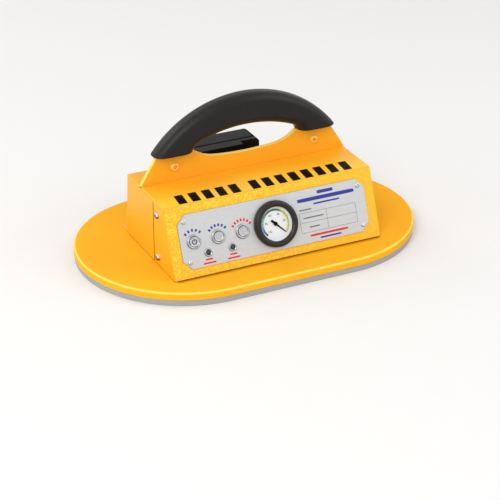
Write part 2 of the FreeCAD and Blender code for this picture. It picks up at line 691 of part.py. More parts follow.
def panel_screw_places():
    """Return the u and v of the panel's four screws."""
    u = PANEL_HALF_WIDTH - PANEL_SCREW_INSET
    low = PANEL_BOTTOM_V + PANEL_SCREW_INSET
    high = PANEL_TOP_V - PANEL_SCREW_INSET
    return [(side * u, v) for side in (-1, 1) for v in (low, high)]


def rear_wall_y(z):
    """Return the depth of the rear wall's outer face at a height."""
    return REAR_FOOT_Y - REAR_LEAN * (z - PLATE_TOP) / HOUSING_HEIGHT


def dock_screw_points():
    """Return where the dock's screws pass the rear wall's outer face."""
    x = DOCK_LENGTH / 2 - DOCK_SCREW_INSET_X
    rise = DOCK_HEIGHT / 2 - DOCK_SCREW_INSET_Z
    zs = (BATTERY_Z - rise, BATTERY_Z + rise)
    return [Vector(side * x, rear_wall_y(z), z) for side in (-1, 1) for z in zs]


def cover_screw_points():
    """Return each side screw's seat with its inward direction."""
    y = SIDE_SEAM_Y - COVER_SCREW_SETBACK
    places = []
    for side in (-1, 1):
        for height in COVER_SCREW_HEIGHTS:
            places.append((Vector(side * HALF_LENGTH, y, PLATE_TOP + height), Vector(-side, 0, 0)))
    return places


def front_cover():
    """Return the front sheet: sloped face with cut-outs, top ahead of the bracket, and short sides."""
    shell = housing_shell()
    high = HOUSING_TOP + SHEET
    ahead = box(-HALF_LENGTH, HALF_LENGTH, FRONT_FOOT_Y - SHEET, SIDE_SEAM_Y, PLATE_TOP, high)
    rear = BRACKET_FRONT_Y - SEAM_GAP
    above = box(-HALF_LENGTH, HALF_LENGTH, SIDE_SEAM_Y, rear, HOUSING_TOP - SHEET, high)
    cover = shell.common(joined([ahead, above]))
    cuts = panel_cutouts(-2 * SHEET, SHEET, HOLE_CLEARANCE)
    for u, v in panel_screw_places():
        cuts.append(clear_hole(M3, on_panel(u, v, -2 * SHEET), OUTWARD, 3 * SHEET))
    for seat, inward in cover_screw_points():
        cuts.append(clear_hole(M5, seat, inward, 2 * SHEET))
    return cover.cut(cuts)


def rear_tab(side):
    """Return the inner tab that carries the front cover's side screws, welded inside the rear cover."""
    outer = HALF_LENGTH - SHEET - SEAM_GAP / 2
    low = PLATE_TOP + TAB_MARGIN
    high = HOUSING_TOP - SHEET - TAB_MARGIN
    rear = SIDE_SEAM_Y + TAB_LAP
    tab = box(outer - SHEET, outer, SIDE_SEAM_Y - TAB_REACH, rear, low, high)
    weld = box(outer, HALF_LENGTH - SHEET, SIDE_SEAM_Y + SEAM_GAP, rear, low, high)
    both = joined([tab, weld])
    if side < 0:
        both = both.mirror(Vector(0, 0, 0), Vector(1, 0, 0))
    return both


def tie_tab(side):
    """Return the upstand behind the bracket that the tie bolts hold."""
    half = TIE_TAB_WIDTH / 2
    low = HOUSING_TOP - SHEET
    high = HOUSING_TOP + TIE_BOLT_RISE
    middle = side * TIE_BOLT_X
    rear = BRACKET_REAR_Y + SHEET
    post = box(middle - half, middle + half, BRACKET_REAR_Y, rear, low, high)
    crown = rod(TIE_TAB_WIDTH, Vector(middle, BRACKET_REAR_Y, high), Vector(0, 1, 0), SHEET)
    above = box(middle - half, middle + half, BRACKET_REAR_Y, rear, high, high + TIE_TAB_ABOVE)
    return joined([post, crown.common(above)])


def vent_slots():
    """Return the row of round-ended slots in the right side beside the pump motor."""
    slots = []
    height = PLATE_TOP + HOUSING_HEIGHT / 2
    first = BRACKET_REAR_Y + BRACKET_FOOT_DEPTH / 2 - VENT_PITCH * (VENT_COUNT - 1) / 2
    start = HALF_LENGTH - 2 * SHEET
    along = Vector(1, 0, 0)
    half = (VENT_LENGTH - VENT_WIDTH) / 2
    for index in range(VENT_COUNT):
        y = first + VENT_PITCH * index
        left = y - VENT_WIDTH / 2
        slot = [box(start, HALF_LENGTH + SHEET, left, left + VENT_WIDTH, height - half, height + half)]
        slot += [rod(VENT_WIDTH, Vector(start, y, height + end * half), along, 3 * SHEET) for end in (-1, 1)]
        slots.append(joined(slot))
    return slots


def rear_cover():
    """Return the rear sheet: sides behind the seam, rear wall with foot flange, top and bolted upstands."""
    shell = housing_shell()
    high = HOUSING_TOP + SHEET
    start = SIDE_SEAM_Y + SEAM_GAP
    split = BRACKET_REAR_Y
    far = REAR_FOOT_Y + SHEET
    under = box(-HALF_LENGTH, HALF_LENGTH, start, split, PLATE_TOP, HOUSING_TOP - SHEET - SEAM_GAP)
    behind = box(-HALF_LENGTH, HALF_LENGTH, split, far, PLATE_TOP, high)
    walls = shell.common(joined([under, behind]))
    flange_rear = REAR_FOOT_Y + REAR_FLANGE
    flange_front = REAR_FOOT_Y - REAR_SLOPE * SHEET / HOUSING_HEIGHT
    flange = box(-HALF_LENGTH, HALF_LENGTH, flange_front, flange_rear, PLATE_TOP, PLATE_TOP + SHEET)
    pieces = [walls, flange] + [rear_tab(side) for side in (-1, 1)] + [tie_tab(side) for side in (-1, 1)]
    cover = joined(pieces)
    up = Vector(0, 0, 1)
    cuts = [clear_hole(M5, point, up, SHEET) for point in flange_screw_points()]
    cuts += [clear_hole(M6, point, Vector(0, 1, 0), SHEET) for point in tie_bolt_points(BRACKET_REAR_Y)]
    for seat, inward in cover_screw_points():
        cuts.append(tapped_hole(M5, seat, inward, 3 * SHEET))
    for point in dock_screw_points():
        cuts.append(clear_hole(M4, point - BACKWARD * 2 * SHEET, BACKWARD, 3 * SHEET))
    return cover.cut(cuts + vent_slots())


def cover_screws():
    """Return the four screws that hold the front cover's sides."""
    return Part.makeCompound([screw(M5, seat, inward, 3 * SHEET) for seat, inward in cover_screw_points()])


def flange_screws():
    """Return the screws of the rear cover's foot flange."""
    lift = Vector(0, 0, SHEET)
    seats = [point + lift for point in flange_screw_points()]
    return screws_at(M5, seats, Vector(0, 0, -1), SHEET + SCREW_BITE)


def panel_plate():
    """Return the control panel: an eight-sided plate with holes for everything that passes it."""
    half = PANEL_HALF_WIDTH
    cut = PANEL_CORNER_CUT
    low = PANEL_BOTTOM_V
    high = PANEL_TOP_V
    right = [(half - cut, low), (half, low + cut), (half, high - cut), (half - cut, high)]
    places = right + [(-u, v) for u, v in reversed(right)]
    plate = prism([on_panel(u, v, 0) for u, v in places], OUTWARD * PANEL_THICKNESS)
    cuts = panel_cutouts(-SHEET, 2 * SHEET, HOLE_CLEARANCE)
    for u, v in panel_screw_places():
        cuts.append(clear_hole(M3, on_panel(u, v, -SHEET), OUTWARD, 3 * SHEET))
    return plate.cut(cuts)


def panel_screws():
    """Return the four small screws of the control panel."""
    seats = [on_panel(u, v, PANEL_THICKNESS) for u, v in panel_screw_places()]
    return screws_at(M3, seats, OUTWARD * -1, PANEL_THICKNESS + 2 * SHEET)


def panel_nut(across, bore, u, v):
    """Return a thin nut against the inside of the sloped front."""
    start = on_panel(u, v, -SHEET)
    inward = OUTWARD * -1
    nut = hexagon(across, start, inward, PANEL_NUT_THICKNESS)
    return nut.cut(rod(bore + 2 * FIT, start, inward, PANEL_NUT_THICKNESS))


def button_body(u):
    """Return a push button's flanged barrel with a well for the cap and a guide for its stem."""
    face = PANEL_THICKNESS + BUTTON_FLANGE_HEIGHT
    well = face + BUTTON_CAP_PROUD - BUTTON_CAP_THICKNESS - BUTTON_TRAVEL - RUNNING_GAP
    flange = BUTTON_FLANGE_DIAMETER / 2
    barrel = BUTTON_BARREL_DIAMETER / 2
    bore = BUTTON_CAP_DIAMETER / 2 + RUNNING_GAP
    guide = BUTTON_STEM_DIAMETER / 2 + 2 * FIT
    edge = BUTTON_FLANGE_EDGE
    profile = [
        (guide, -BUTTON_BARREL_LENGTH),
        (barrel, -BUTTON_BARREL_LENGTH),
        (barrel, PANEL_THICKNESS),
        (flange, PANEL_THICKNESS),
        (flange, face - edge),
        (flange - edge, face),
        (bore, face),
        (bore, well),
        (guide, well),
    ]
    return turned(profile, on_panel(u, BUTTON_V, 0), OUTWARD)


def button_cap(u):
    """Return a push button's moving cap with a bevelled rim and its guide stem."""
    top = PANEL_THICKNESS + BUTTON_FLANGE_HEIGHT + BUTTON_CAP_PROUD
    under = top - BUTTON_CAP_THICKNESS
    cap = BUTTON_CAP_DIAMETER / 2
    stem = BUTTON_STEM_DIAMETER / 2
    bevel = BUTTON_CAP_PROUD
    profile = [
        (0, under - BUTTON_STEM_LENGTH),
        (stem, under - BUTTON_STEM_LENGTH),
        (stem, under),
        (cap, under),
        (cap, top - bevel),
        (cap - bevel, top),
        (0, top),
    ]
    return turned(profile, on_panel(u, BUTTON_V, 0), OUTWARD)


def button_nuts():
    """Return the three nuts behind the push buttons."""
    nuts = [panel_nut(BUTTON_NUT_ACROSS, BUTTON_BARREL_DIAMETER, u, BUTTON_V) for u in BUTTON_US]
    return Part.makeCompound(nuts)


def lamp_body(u):
    """Return an indicator lamp's flanged barrel with a seat for its lens."""
    face = PANEL_THICKNESS + LAMP_FLANGE_HEIGHT
    flange = LAMP_FLANGE_DIAMETER / 2
    barrel = LAMP_BARREL_DIAMETER / 2
    seat = LAMP_LENS_DIAMETER / 2 + FIT
    edge = LAMP_FLANGE_EDGE
    profile = [
        (0, -LAMP_BARREL_LENGTH),
        (barrel, -LAMP_BARREL_LENGTH),
        (barrel, PANEL_THICKNESS),
        (flange, PANEL_THICKNESS),
        (flange, face - edge),
        (flange - edge, face),
        (seat, face),
        (seat, 0),
        (0, 0),
    ]
    return turned(profile, on_panel(u, LAMP_V, 0), OUTWARD)


def lamp_lens(u):
    """Return an indicator lamp's domed lens."""
    face = PANEL_THICKNESS + LAMP_FLANGE_HEIGHT
    radius = LAMP_LENS_DIAMETER / 2
    sphere = (radius ** 2 + LAMP_LENS_DOME ** 2) / (2 * LAMP_LENS_DOME)
    centre = face + LAMP_LENS_DOME - sphere
    half_turn = math.asin(radius / sphere) / 2
    middle = Vector(sphere * math.sin(half_turn), 0, centre + sphere * math.cos(half_turn))
    crown = Vector(0, 0, face + LAMP_LENS_DOME)
    points = [crown, Vector(0, 0, 0), Vector(radius, 0, 0), Vector(radius, 0, face)]
    return revolved(points, middle, on_panel(u, LAMP_V, 0), OUTWARD)


def lamp_nuts():
    """Return the two nuts behind the lamps."""
    nuts = [panel_nut(LAMP_NUT_ACROSS, LAMP_BARREL_DIAMETER, u, LAMP_V) for u in LAMP_US]
    return Part.makeCompound(nuts)


def gauge_turned(profile):
    """Return a turned piece of the gauge from (radius, lift) points."""
    return turned(profile, on_panel(0, GAUGE_V, 0), OUTWARD)


def gauge_case():
    """Return the gauge's cup-shaped case behind the panel."""
    outer = GAUGE_CASE_DIAMETER / 2
    inner = outer - GAUGE_WALL
    floor = -GAUGE_CASE_DEPTH
    inside = floor + GAUGE_WALL
    return gauge_turned([(0, floor), (outer, floor), (outer, 0), (inner, 0), (inner, inside), (0, inside)])


def gauge_bore():
    """Return the radius of the bezel's bore, which holds the lens and the ring."""
    return GAUGE_WINDOW_DIAMETER / 2 + GAUGE_RING_WALL + RUNNING_GAP


def gauge_dial():
    """Return the gauge's dial plate, resting on the rim of the case."""
    outer = GAUGE_CASE_DIAMETER / 2 - RUNNING_GAP
    hole = POINTER_SPINDLE_DIAMETER / 2 + 2 * FIT
    return gauge_turned([(hole, 0), (outer, 0), (outer, GAUGE_DIAL_THICKNESS), (hole, GAUGE_DIAL_THICKNESS)])


def gauge_lens_seat():
    """Return the lift of the lens's underside."""
    return GAUGE_DIAL_THICKNESS + POINTER_LIFT + POINTER_THICKNESS + POINTER_LIFT


def gauge_ring():
    """Return the bright ring between the dial and the lens."""
    inner = GAUGE_WINDOW_DIAMETER / 2
    outer = inner + GAUGE_RING_WALL
    top = gauge_lens_seat()
    low = GAUGE_DIAL_THICKNESS
    return gauge_turned([(inner, low), (outer, low), (outer, top), (inner, top)])


def gauge_lens():
    """Return the gauge's clear window."""
    low = gauge_lens_seat()
    high = low + GAUGE_LENS_THICKNESS
    outer = gauge_bore() - FIT
    return gauge_turned([(0, low), (outer, low), (outer, high), (0, high)])


def gauge_bezel():
    """Return the gauge's thick black bezel with a rounded crown and a lip over the lens."""
    outer = GAUGE_BEZEL_DIAMETER / 2
    lip = GAUGE_WINDOW_DIAMETER / 2
    bore = gauge_bore()
    shelf = gauge_lens_seat() + GAUGE_LENS_THICKNESS
    shoulder = shelf + GAUGE_LIP
    crown = Vector((outer + lip) / 2, 0, shoulder + GAUGE_CROWN)
    places = [(lip, shoulder), (lip, shelf), (bore, shelf), (bore, PANEL_THICKNESS), (outer, PANEL_THICKNESS)]
    points = [Vector(radius, 0, lift) for radius, lift in places + [(outer, shoulder)]]
    return revolved(points, crown, on_panel(0, GAUGE_V, 0), OUTWARD)


def gauge_pointer():
    """Return the pointer: a tapered needle with a tail, a hub and the spindle through the dial."""
    low = GAUGE_DIAL_THICKNESS + POINTER_LIFT
    turn = math.radians(POINTER_REST_ANGLE)
    along = U_AXIS * math.sin(turn) + V_AXIS * math.cos(turn)
    across = along.cross(OUTWARD)
    middle = on_panel(0, GAUGE_V, low)
    half = POINTER_WIDTH / 2
    outline = [(-POINTER_TAIL, half), (-POINTER_TAIL, -half), (0, -half), (POINTER_LENGTH, 0), (0, half)]
    points = [middle + along * reach + across * side for reach, side in outline]
    needle = prism(points, OUTWARD * POINTER_THICKNESS)
    hub = panel_rod(POINTER_HUB_DIAMETER, 0, GAUGE_V, low, low + POINTER_THICKNESS)
    spindle = panel_rod(POINTER_SPINDLE_DIAMETER, 0, GAUGE_V, low - POINTER_SPINDLE_LENGTH, low)
    return joined([needle, hub, spindle])


def gauge_ring_nut():
    """Return the ring nut that holds the gauge case against the inside of the sloped front."""
    inner = GAUGE_CASE_DIAMETER / 2 + FIT
    outer = inner + GAUGE_RING_NUT_WIDTH
    low = -SHEET - PANEL_NUT_THICKNESS
    return gauge_turned([(inner, low), (outer, low), (outer, -SHEET), (inner, -SHEET)])


def barb(start, axis):
    """Return a hose barb that stands on a face."""
    root = BARB_DIAMETER / 2
    ridge = root + BARB_RIDGE
    step = BARB_LENGTH / BARB_RIDGES
    profile = [(0, 0), (root, 0)]
    for index in range(BARB_RIDGES):
        profile += [(ridge, step * index + step / 2), (root, step * (index + 1))]
    return turned(profile + [(0, BARB_LENGTH)], start, axis)


def hose(start, end):
    """Return a straight hose pushed over two barbs that face each other."""
    axis = end - start
    bore = BARB_DIAMETER + 2 * (BARB_RIDGE + HOSE_FIT)
    tube = rod(bore + 2 * HOSE_WALL, start, axis, axis.Length)
    return tube.cut(rod(bore, start, axis, axis.Length))


def gauge_stem():
    """Return the gauge's hexagonal stem and barb at the back of the case."""
    inward = OUTWARD * -1
    start = on_panel(0, GAUGE_V, -GAUGE_CASE_DEPTH)
    hexed = hexagon(GAUGE_STEM_HEX, start, inward, GAUGE_STEM_LENGTH)
    return joined([hexed, barb(start + inward * GAUGE_STEM_LENGTH, inward)])


def gauge_hose():
    """Return the hose from the gauge to the manifold."""
    start = on_panel(0, GAUGE_V, -GAUGE_CASE_DEPTH - GAUGE_STEM_LENGTH)
    return hose(start, on_panel(0, GAUGE_V, MANIFOLD_FACE_LIFT))


def manifold():
    """Return the drilled block over the suction port, its front face square to the gauge."""
    face = on_panel(0, GAUGE_V, MANIFOLD_FACE_LIFT)
    lean = FRONT_LEAN / HOUSING_HEIGHT
    top = PLATE_TOP + MANIFOLD_HEIGHT
    half = MANIFOLD_WIDTH / 2
    profile = [
        (face.y - (face.z - PLATE_TOP) * lean, PLATE_TOP),
        (MANIFOLD_REAR_Y, PLATE_TOP),
        (MANIFOLD_REAR_Y, top),
        (face.y + (top - face.z) * lean, top),
    ]
    block = joined([side_prism(profile, -half, half), barb(face, OUTWARD)])
    port = Vector(0, PORT_Y, PLATE_TOP)
    bore = PORT_DIAMETER / 2
    cuts = [rod(PORT_DIAMETER, port, Vector(0, 0, 1), LINE_HEIGHT + bore)]
    cuts.append(rod(bore, Vector(0, PORT_Y, LINE_Z), Vector(1, 0, 0), half))
    reach = BARB_LENGTH + (PORT_Y - face.y) / -OUTWARD.y
    cuts.append(rod(bore, face + OUTWARD * BARB_LENGTH, OUTWARD * -1, reach))
    for point in manifold_screw_points():
        cuts.append(clear_hole(M4, point, Vector(0, 0, 1), MANIFOLD_HEIGHT))
    return block.cut(cuts)


def manifold_screws():
    """Return the two long screws of the manifold."""
    lift = Vector(0, 0, MANIFOLD_HEIGHT)
    seats = [point + lift for point in manifold_screw_points()]
    return screws_at(M4, seats, Vector(0, 0, -1), MANIFOLD_HEIGHT + SCREW_BITE)


def check_valve():
    """Return the check valve on the manifold's right side, with the barb for the pump hose."""
    start = Vector(MANIFOLD_WIDTH / 2, PORT_Y, LINE_Z)
    along = Vector(1, 0, 0)
    body = hexagon(CHECK_VALVE_DIAMETER, start, along, CHECK_VALVE_LENGTH)
    valve = joined([body, barb(start + along * CHECK_VALVE_LENGTH, along)])
    return valve.cut(rod(PORT_DIAMETER / 2, start, along, CHECK_VALVE_LENGTH + BARB_LENGTH))


def release_valve():
    """Return the solenoid valve on the manifold that lets air back in, with its vent nozzle."""
    start = Vector(0, PORT_Y, PLATE_TOP + MANIFOLD_HEIGHT)
    up = Vector(0, 0, 1)
    coil = rod(RELEASE_VALVE_DIAMETER, start, up, RELEASE_VALVE_HEIGHT)
    tip = start + up * RELEASE_VALVE_HEIGHT
    nozzle = rod(RELEASE_NOZZLE_DIAMETER, tip, up, RELEASE_NOZZLE_LENGTH)
    return joined([coil, nozzle])


def pump_hose():
    """Return the hose from the check valve to the pump."""
    start = Vector(MANIFOLD_WIDTH / 2 + CHECK_VALVE_LENGTH, PORT_Y, LINE_Z)
    return hose(start, Vector(PUMP_LEFT_X, PORT_Y, LINE_Z))


def pump_axis(x):
    """Return the point of the pump's axis at an x."""
    return Vector(x, PUMP_AXIS_Y, PUMP_Z)


def chamber_axis(x):
    """Return the point of the chamber's own axis, set off so that the rotor nearly meets its floor."""
    offset = (CHAMBER_DIAMETER - ROTOR_DIAMETER) / 2 - RUNNING_GAP
    return Vector(x, PUMP_AXIS_Y, PUMP_Z + offset)


def pump_body():
    """Return the pump body: an off-centre chamber, a bearing wall and a boss for the silencer."""
    along = Vector(1, 0, 0)
    length = CHAMBER_LENGTH + PUMP_BACK_THICKNESS
    middle = CHAMBER_LEFT_X + CHAMBER_LENGTH / 2
    height = PUMP_DIAMETER / 2 + PUMP_BOSS_HEIGHT
    boss = rod(PUMP_BOSS_DIAMETER, pump_axis(middle), Vector(0, 0, 1), height)
    body = joined([rod(PUMP_DIAMETER, pump_axis(CHAMBER_LEFT_X), along, length), boss])
    cuts = [rod(CHAMBER_DIAMETER, chamber_axis(CHAMBER_LEFT_X), along, CHAMBER_LENGTH)]
    cuts.append(rod(SHAFT_DIAMETER + 2 * FIT, pump_axis(CHAMBER_RIGHT_X), along, PUMP_BACK_THICKNESS))
    cuts.append(rod(SILENCER_STUB_DIAMETER + 2 * FIT, pump_axis(middle), Vector(0, 0, 1), height))
    return body.cut(cuts)


def pump_cover():
    """Return the pump's end cover with the stub bearing and the inlet barb."""
    along = Vector(1, 0, 0)
    disc = rod(PUMP_DIAMETER, pump_axis(PUMP_LEFT_X), along, PUMP_COVER_THICKNESS)
    inlet = barb(Vector(PUMP_LEFT_X, PORT_Y, LINE_Z), along * -1)
    depth = STUB_REACH + ROTOR_END_GAP
    bearing = rod(SHAFT_DIAMETER + 2 * FIT, pump_axis(CHAMBER_LEFT_X - depth), along, depth)
    mouth = Vector(PUMP_LEFT_X - BARB_LENGTH, PORT_Y, LINE_Z)
    port = rod(PORT_DIAMETER / 2, mouth, along, BARB_LENGTH + PUMP_INLET_DEPTH)
    return joined([disc, inlet]).cut([bearing, port])


def vane_slots(thickness, depth):
    """Return flat slabs that stand out from the rotor's axis, one for each vane."""
    half = thickness / 2
    outer = ROTOR_DIAMETER / 2
    start = CHAMBER_LEFT_X + ROTOR_END_GAP
    end = CHAMBER_RIGHT_X - ROTOR_END_GAP
    slabs = []
    for index in range(VANE_COUNT):
        y = PUMP_AXIS_Y
        slab = box(start, end, y - half, y + half, PUMP_Z + outer - depth, PUMP_Z + outer)
        slab.rotate(pump_axis(0), Vector(1, 0, 0), 360 * index / VANE_COUNT)
        slabs.append(slab)
    return slabs


def pump_rotor():
    """Return the slotted rotor with its shaft into the motor and its stub in the cover."""
    along = Vector(1, 0, 0)
    start = CHAMBER_LEFT_X + ROTOR_END_GAP
    length = CHAMBER_LENGTH - 2 * ROTOR_END_GAP
    rotor = rod(ROTOR_DIAMETER, pump_axis(start), along, length)
    shaft_start = CHAMBER_LEFT_X - STUB_REACH
    shaft_end = MOTOR_LEFT_X + SHAFT_REACH
    shaft = rod(SHAFT_DIAMETER, pump_axis(shaft_start), along, shaft_end - shaft_start)
    slots = vane_slots(VANE_THICKNESS + 2 * FIT, VANE_HEIGHT + HOLE_CLEARANCE)
    return joined([rotor, shaft]).cut(slots)


def pump_vanes():
    """Return the vanes, drawn fully home in the rotor's slots and trimmed to its curve."""
    inside = rod(ROTOR_DIAMETER - 2 * FIT, pump_axis(CHAMBER_LEFT_X), Vector(1, 0, 0), CHAMBER_LENGTH)
    return Part.makeCompound([slab.common(inside) for slab in vane_slots(VANE_THICKNESS, VANE_HEIGHT)])


def pump_motor():
    """Return the motor: a round can with a bore for the rotor's shaft and a stepped rear cap."""
    along = Vector(1, 0, 0)
    can = rod(MOTOR_DIAMETER, pump_axis(MOTOR_LEFT_X), along, MOTOR_LENGTH - MOTOR_CAP_LENGTH)
    rear = rod(MOTOR_CAP_DIAMETER, pump_axis(MOTOR_RIGHT_X - MOTOR_CAP_LENGTH), along, MOTOR_CAP_LENGTH)
    bore = rod(SHAFT_DIAMETER + 2 * FIT, pump_axis(MOTOR_LEFT_X), along, SHAFT_REACH + HOLE_TIP)
    return joined([can, rear]).cut(bore)


def pump_saddle():
    """Return the saddle that carries the pump body on the base plate."""
    left = CHAMBER_LEFT_X
    right = CHAMBER_RIGHT_X
    half = SADDLE_WIDTH / 2
    foot = SADDLE_FOOT_WIDTH / 2
    y = PUMP_AXIS_Y
    top = PLATE_TOP + SADDLE_FOOT_THICKNESS
    saddle = joined([
        box(left, right, y - foot, y + foot, PLATE_TOP, top),
        box(left, right, y - half, y + half, PLATE_TOP, PUMP_Z - SADDLE_HORN_DROP),
    ])
    cuts = [rod(PUMP_DIAMETER + 2 * FIT, pump_axis(left), Vector(1, 0, 0), right - left)]
    cuts += [clear_hole(M5, point, Vector(0, 0, 1), SADDLE_FOOT_THICKNESS) for point in saddle_screw_points()]
    return saddle.cut(cuts)


def saddle_screws():
    """Return the screws of the pump saddle."""
    lift = Vector(0, 0, SADDLE_FOOT_THICKNESS)
    seats = [point + lift for point in saddle_screw_points()]
    return screws_at(M5, seats, Vector(0, 0, -1), SADDLE_FOOT_THICKNESS + SCREW_BITE)


def pump_silencer():
    """Return the sintered silencer on the pump's outlet."""
    middle = pump_axis(CHAMBER_LEFT_X + CHAMBER_LENGTH / 2)
    base = PUMP_DIAMETER / 2 + PUMP_BOSS_HEIGHT
    foot = base - SILENCER_STUB_LENGTH
    stub = SILENCER_STUB_DIAMETER / 2
    full = SILENCER_DIAMETER / 2
    top = base + SILENCER_HEIGHT
    shoulder = top - full + stub
    profile = [(0, foot), (stub, foot), (stub, base), (full, base), (full, shoulder), (stub, top), (0, top)]
    return turned(profile, middle, Vector(0, 0, 1))


def board_corner():
    """Return the lower left corner of the control board on the bracket web."""
    x = -(HALF_LENGTH - SHEET - BRACKET_WEB_GAP) + BOARD_LEFT_MARGIN
    return Vector(x, BRACKET_FRONT_Y - STANDOFF_LENGTH, PLATE_TOP + BOARD_BASE_HEIGHT)


def standoff_points():
    """Return the corners where the control board is held."""
    corner = board_corner()
    xs = (STANDOFF_INSET, BOARD_WIDTH - STANDOFF_INSET)
    zs = (STANDOFF_INSET, BOARD_HEIGHT - STANDOFF_INSET)
    return [corner + Vector(x, 0, z) for x in xs for z in zs]


def board_standoffs():
    """Return the posts between the bracket web and the control board."""
    posts = [rod(STANDOFF_DIAMETER, point, Vector(0, 1, 0), STANDOFF_LENGTH) for point in standoff_points()]
    return Part.makeCompound(posts)


def control_board():
    """Return the control board with its relay, terminal strip and capacitor."""
    corner = board_corner()
    front = corner.y - BOARD_THICKNESS
    right = corner.x + BOARD_WIDTH
    top = corner.z + BOARD_HEIGHT
    board = box(corner.x, right, front, corner.y, corner.z, top)
    edge = 2 * STANDOFF_INSET
    tall = COMPONENT_HEIGHT
    middle = corner.x + BOARD_WIDTH / 2
    relay = box(corner.x + edge, middle - edge, front - tall, front, corner.z + edge, top - edge)
    strip = box(middle, right - edge, front - tall / 2, front, corner.z + edge / 2, corner.z + edge)
    can = rod(edge, Vector(right - 2 * edge, front - tall, top - 2 * edge), Vector(0, 1, 0), tall)
    return joined([board, relay, strip, can])


def slide_profile(gap):
    """Return the T-shaped slide between dock and battery as two (y0, y1, half height) steps."""
    neck = DOCK_FACE_Y - NECK_DEPTH
    head = neck - HEAD_DEPTH
    narrow = (neck - gap, CASE_FRONT_Y, NECK_HEIGHT / 2 - gap)
    wide = (head + gap, neck - gap, HEAD_HEIGHT / 2 - gap)
    return [narrow, wide]


def latch_start_x():
    """Return the left end of the latch, set back from the battery's right end."""
    return BATTERY_LENGTH / 2 - LATCH_LENGTH


def prong_blocks(gap, front, rear):
    """Return the two latch prongs between two depths, grown by a gap on the other sides."""
    left = latch_start_x() - gap
    right = latch_start_x() + PRONG_LENGTH + gap
    blocks = []
    for side in (-1, 1):
        middle = BATTERY_Z + side * (LATCH_WIDTH - PRONG_WIDTH) / 2
        half = PRONG_WIDTH / 2 + gap
        blocks.append(box(left, right, front, rear, middle - half, middle + half))
    return blocks


def battery_dock():
    """Return the moulded dock on the rear wall, with its undercut channel and the latch pockets."""
    half = DOCK_LENGTH / 2
    low = BATTERY_Z - DOCK_HEIGHT / 2
    high = BATTERY_Z + DOCK_HEIGHT / 2
    profile = [(rear_wall_y(low), low), (DOCK_FACE_Y, low), (DOCK_FACE_Y, high), (rear_wall_y(high), high)]
    dock = side_prism(profile, -half, half)
    start = -half + DOCK_END_WALL
    cuts = []
    for front, rear, reach in slide_profile(0):
        cuts.append(box(start, half, front, rear, BATTERY_Z - reach, BATTERY_Z + reach))
    cuts += prong_blocks(SLIDE_CLEARANCE, DOCK_FACE_Y - LATCH_TRAVEL - SLIDE_CLEARANCE, CASE_FRONT_Y)
    cuts += [tapped_hole(M4, point, BACKWARD, SCREW_BITE + HOLE_TIP) for point in dock_screw_points()]
    return dock.cut(cuts)


def dock_screws():
    """Return the screws that hold the dock through the rear wall from inside."""
    seats = [point - BACKWARD * SHEET for point in dock_screw_points()]
    return screws_at(M4, seats, BACKWARD, SHEET + SCREW_BITE)


def blade_blocks(gap):
    """Return the contact blades in the dock's channel, grown by a gap."""
    start = -DOCK_LENGTH / 2 + DOCK_END_WALL
    front = DOCK_FACE_Y - NECK_DEPTH - HEAD_DEPTH
    half = BLADE_THICKNESS / 2 + gap
    blocks = []
    for side in (-1, 1):
        middle = BATTERY_Z + side * BLADE_SPACING / 2
        end = start + BLADE_LENGTH + gap
        blocks.append(box(start, end, front, front + BLADE_DEPTH + gap, middle - half, middle + half))
    return blocks


def battery_contacts():
    """Return the two contact blades of the dock."""
    return Part.makeCompound(blade_blocks(0))


def battery_case():
    """Return the battery case with its seam groove, T-shaped tongue, latch recess and thumb notch."""
    half = BATTERY_LENGTH / 2
    tall = BATTERY_HEIGHT / 2
    rear = CASE_FRONT_Y + BATTERY_DEPTH
    case = box(-half, half, CASE_FRONT_Y, rear, BATTERY_Z - tall, BATTERY_Z + tall)
    corners = [edge for edge in case.Edges if edge.BoundBox.YMax > rear - FIT]
    case = case.makeFillet(BATTERY_CORNER_RADIUS, corners)
    seam_front = CASE_FRONT_Y + LATCH_BAR + LATCH_TRAVEL + BATTERY_SEAM_SETBACK
    seam_rear = seam_front + BATTERY_SEAM_WIDTH
    inner = (half - BATTERY_SEAM_DEPTH, tall - BATTERY_SEAM_DEPTH)
    around = box(-half, half, seam_front, seam_rear, BATTERY_Z - tall, BATTERY_Z + tall)
    core = box(-inner[0], inner[0], seam_front, seam_rear, BATTERY_Z - inner[1], BATTERY_Z + inner[1])
    start = -DOCK_LENGTH / 2 + DOCK_END_WALL + SLIDE_CLEARANCE
    tongue = []
    for front, back, reach in slide_profile(SLIDE_CLEARANCE):
        tongue.append(box(start, start + TONGUE_LENGTH, front, back, BATTERY_Z - reach, BATTERY_Z + reach))
    battery = joined([case.cut(around.cut(core))] + tongue)
    wide = LATCH_WIDTH / 2 + SLIDE_CLEARANCE
    deep = CASE_FRONT_Y + LATCH_BAR + LATCH_TRAVEL + 2 * SLIDE_CLEARANCE
    left = latch_start_x() - SLIDE_CLEARANCE
    recess = box(left, half, CASE_FRONT_Y, deep, BATTERY_Z - wide, BATTERY_Z + wide)
    notch = box(half - THUMB_NOTCH_LENGTH, half, CASE_FRONT_Y, deep, BATTERY_Z + wide, BATTERY_Z + tall)
    return battery.cut([recess, notch] + blade_blocks(SLIDE_CLEARANCE))


def battery_latch():
    """Return the latch slide: a bar with a thumb edge at the battery's end and two prongs."""
    left = latch_start_x()
    right = BATTERY_LENGTH / 2 - SLIDE_CLEARANCE
    front = CASE_FRONT_Y + LATCH_TRAVEL + SLIDE_CLEARANCE
    half = LATCH_WIDTH / 2
    bar = box(left, right, front, front + LATCH_BAR, BATTERY_Z - half, BATTERY_Z + half)
    return joined([bar] + prong_blocks(0, CASE_FRONT_Y, front))


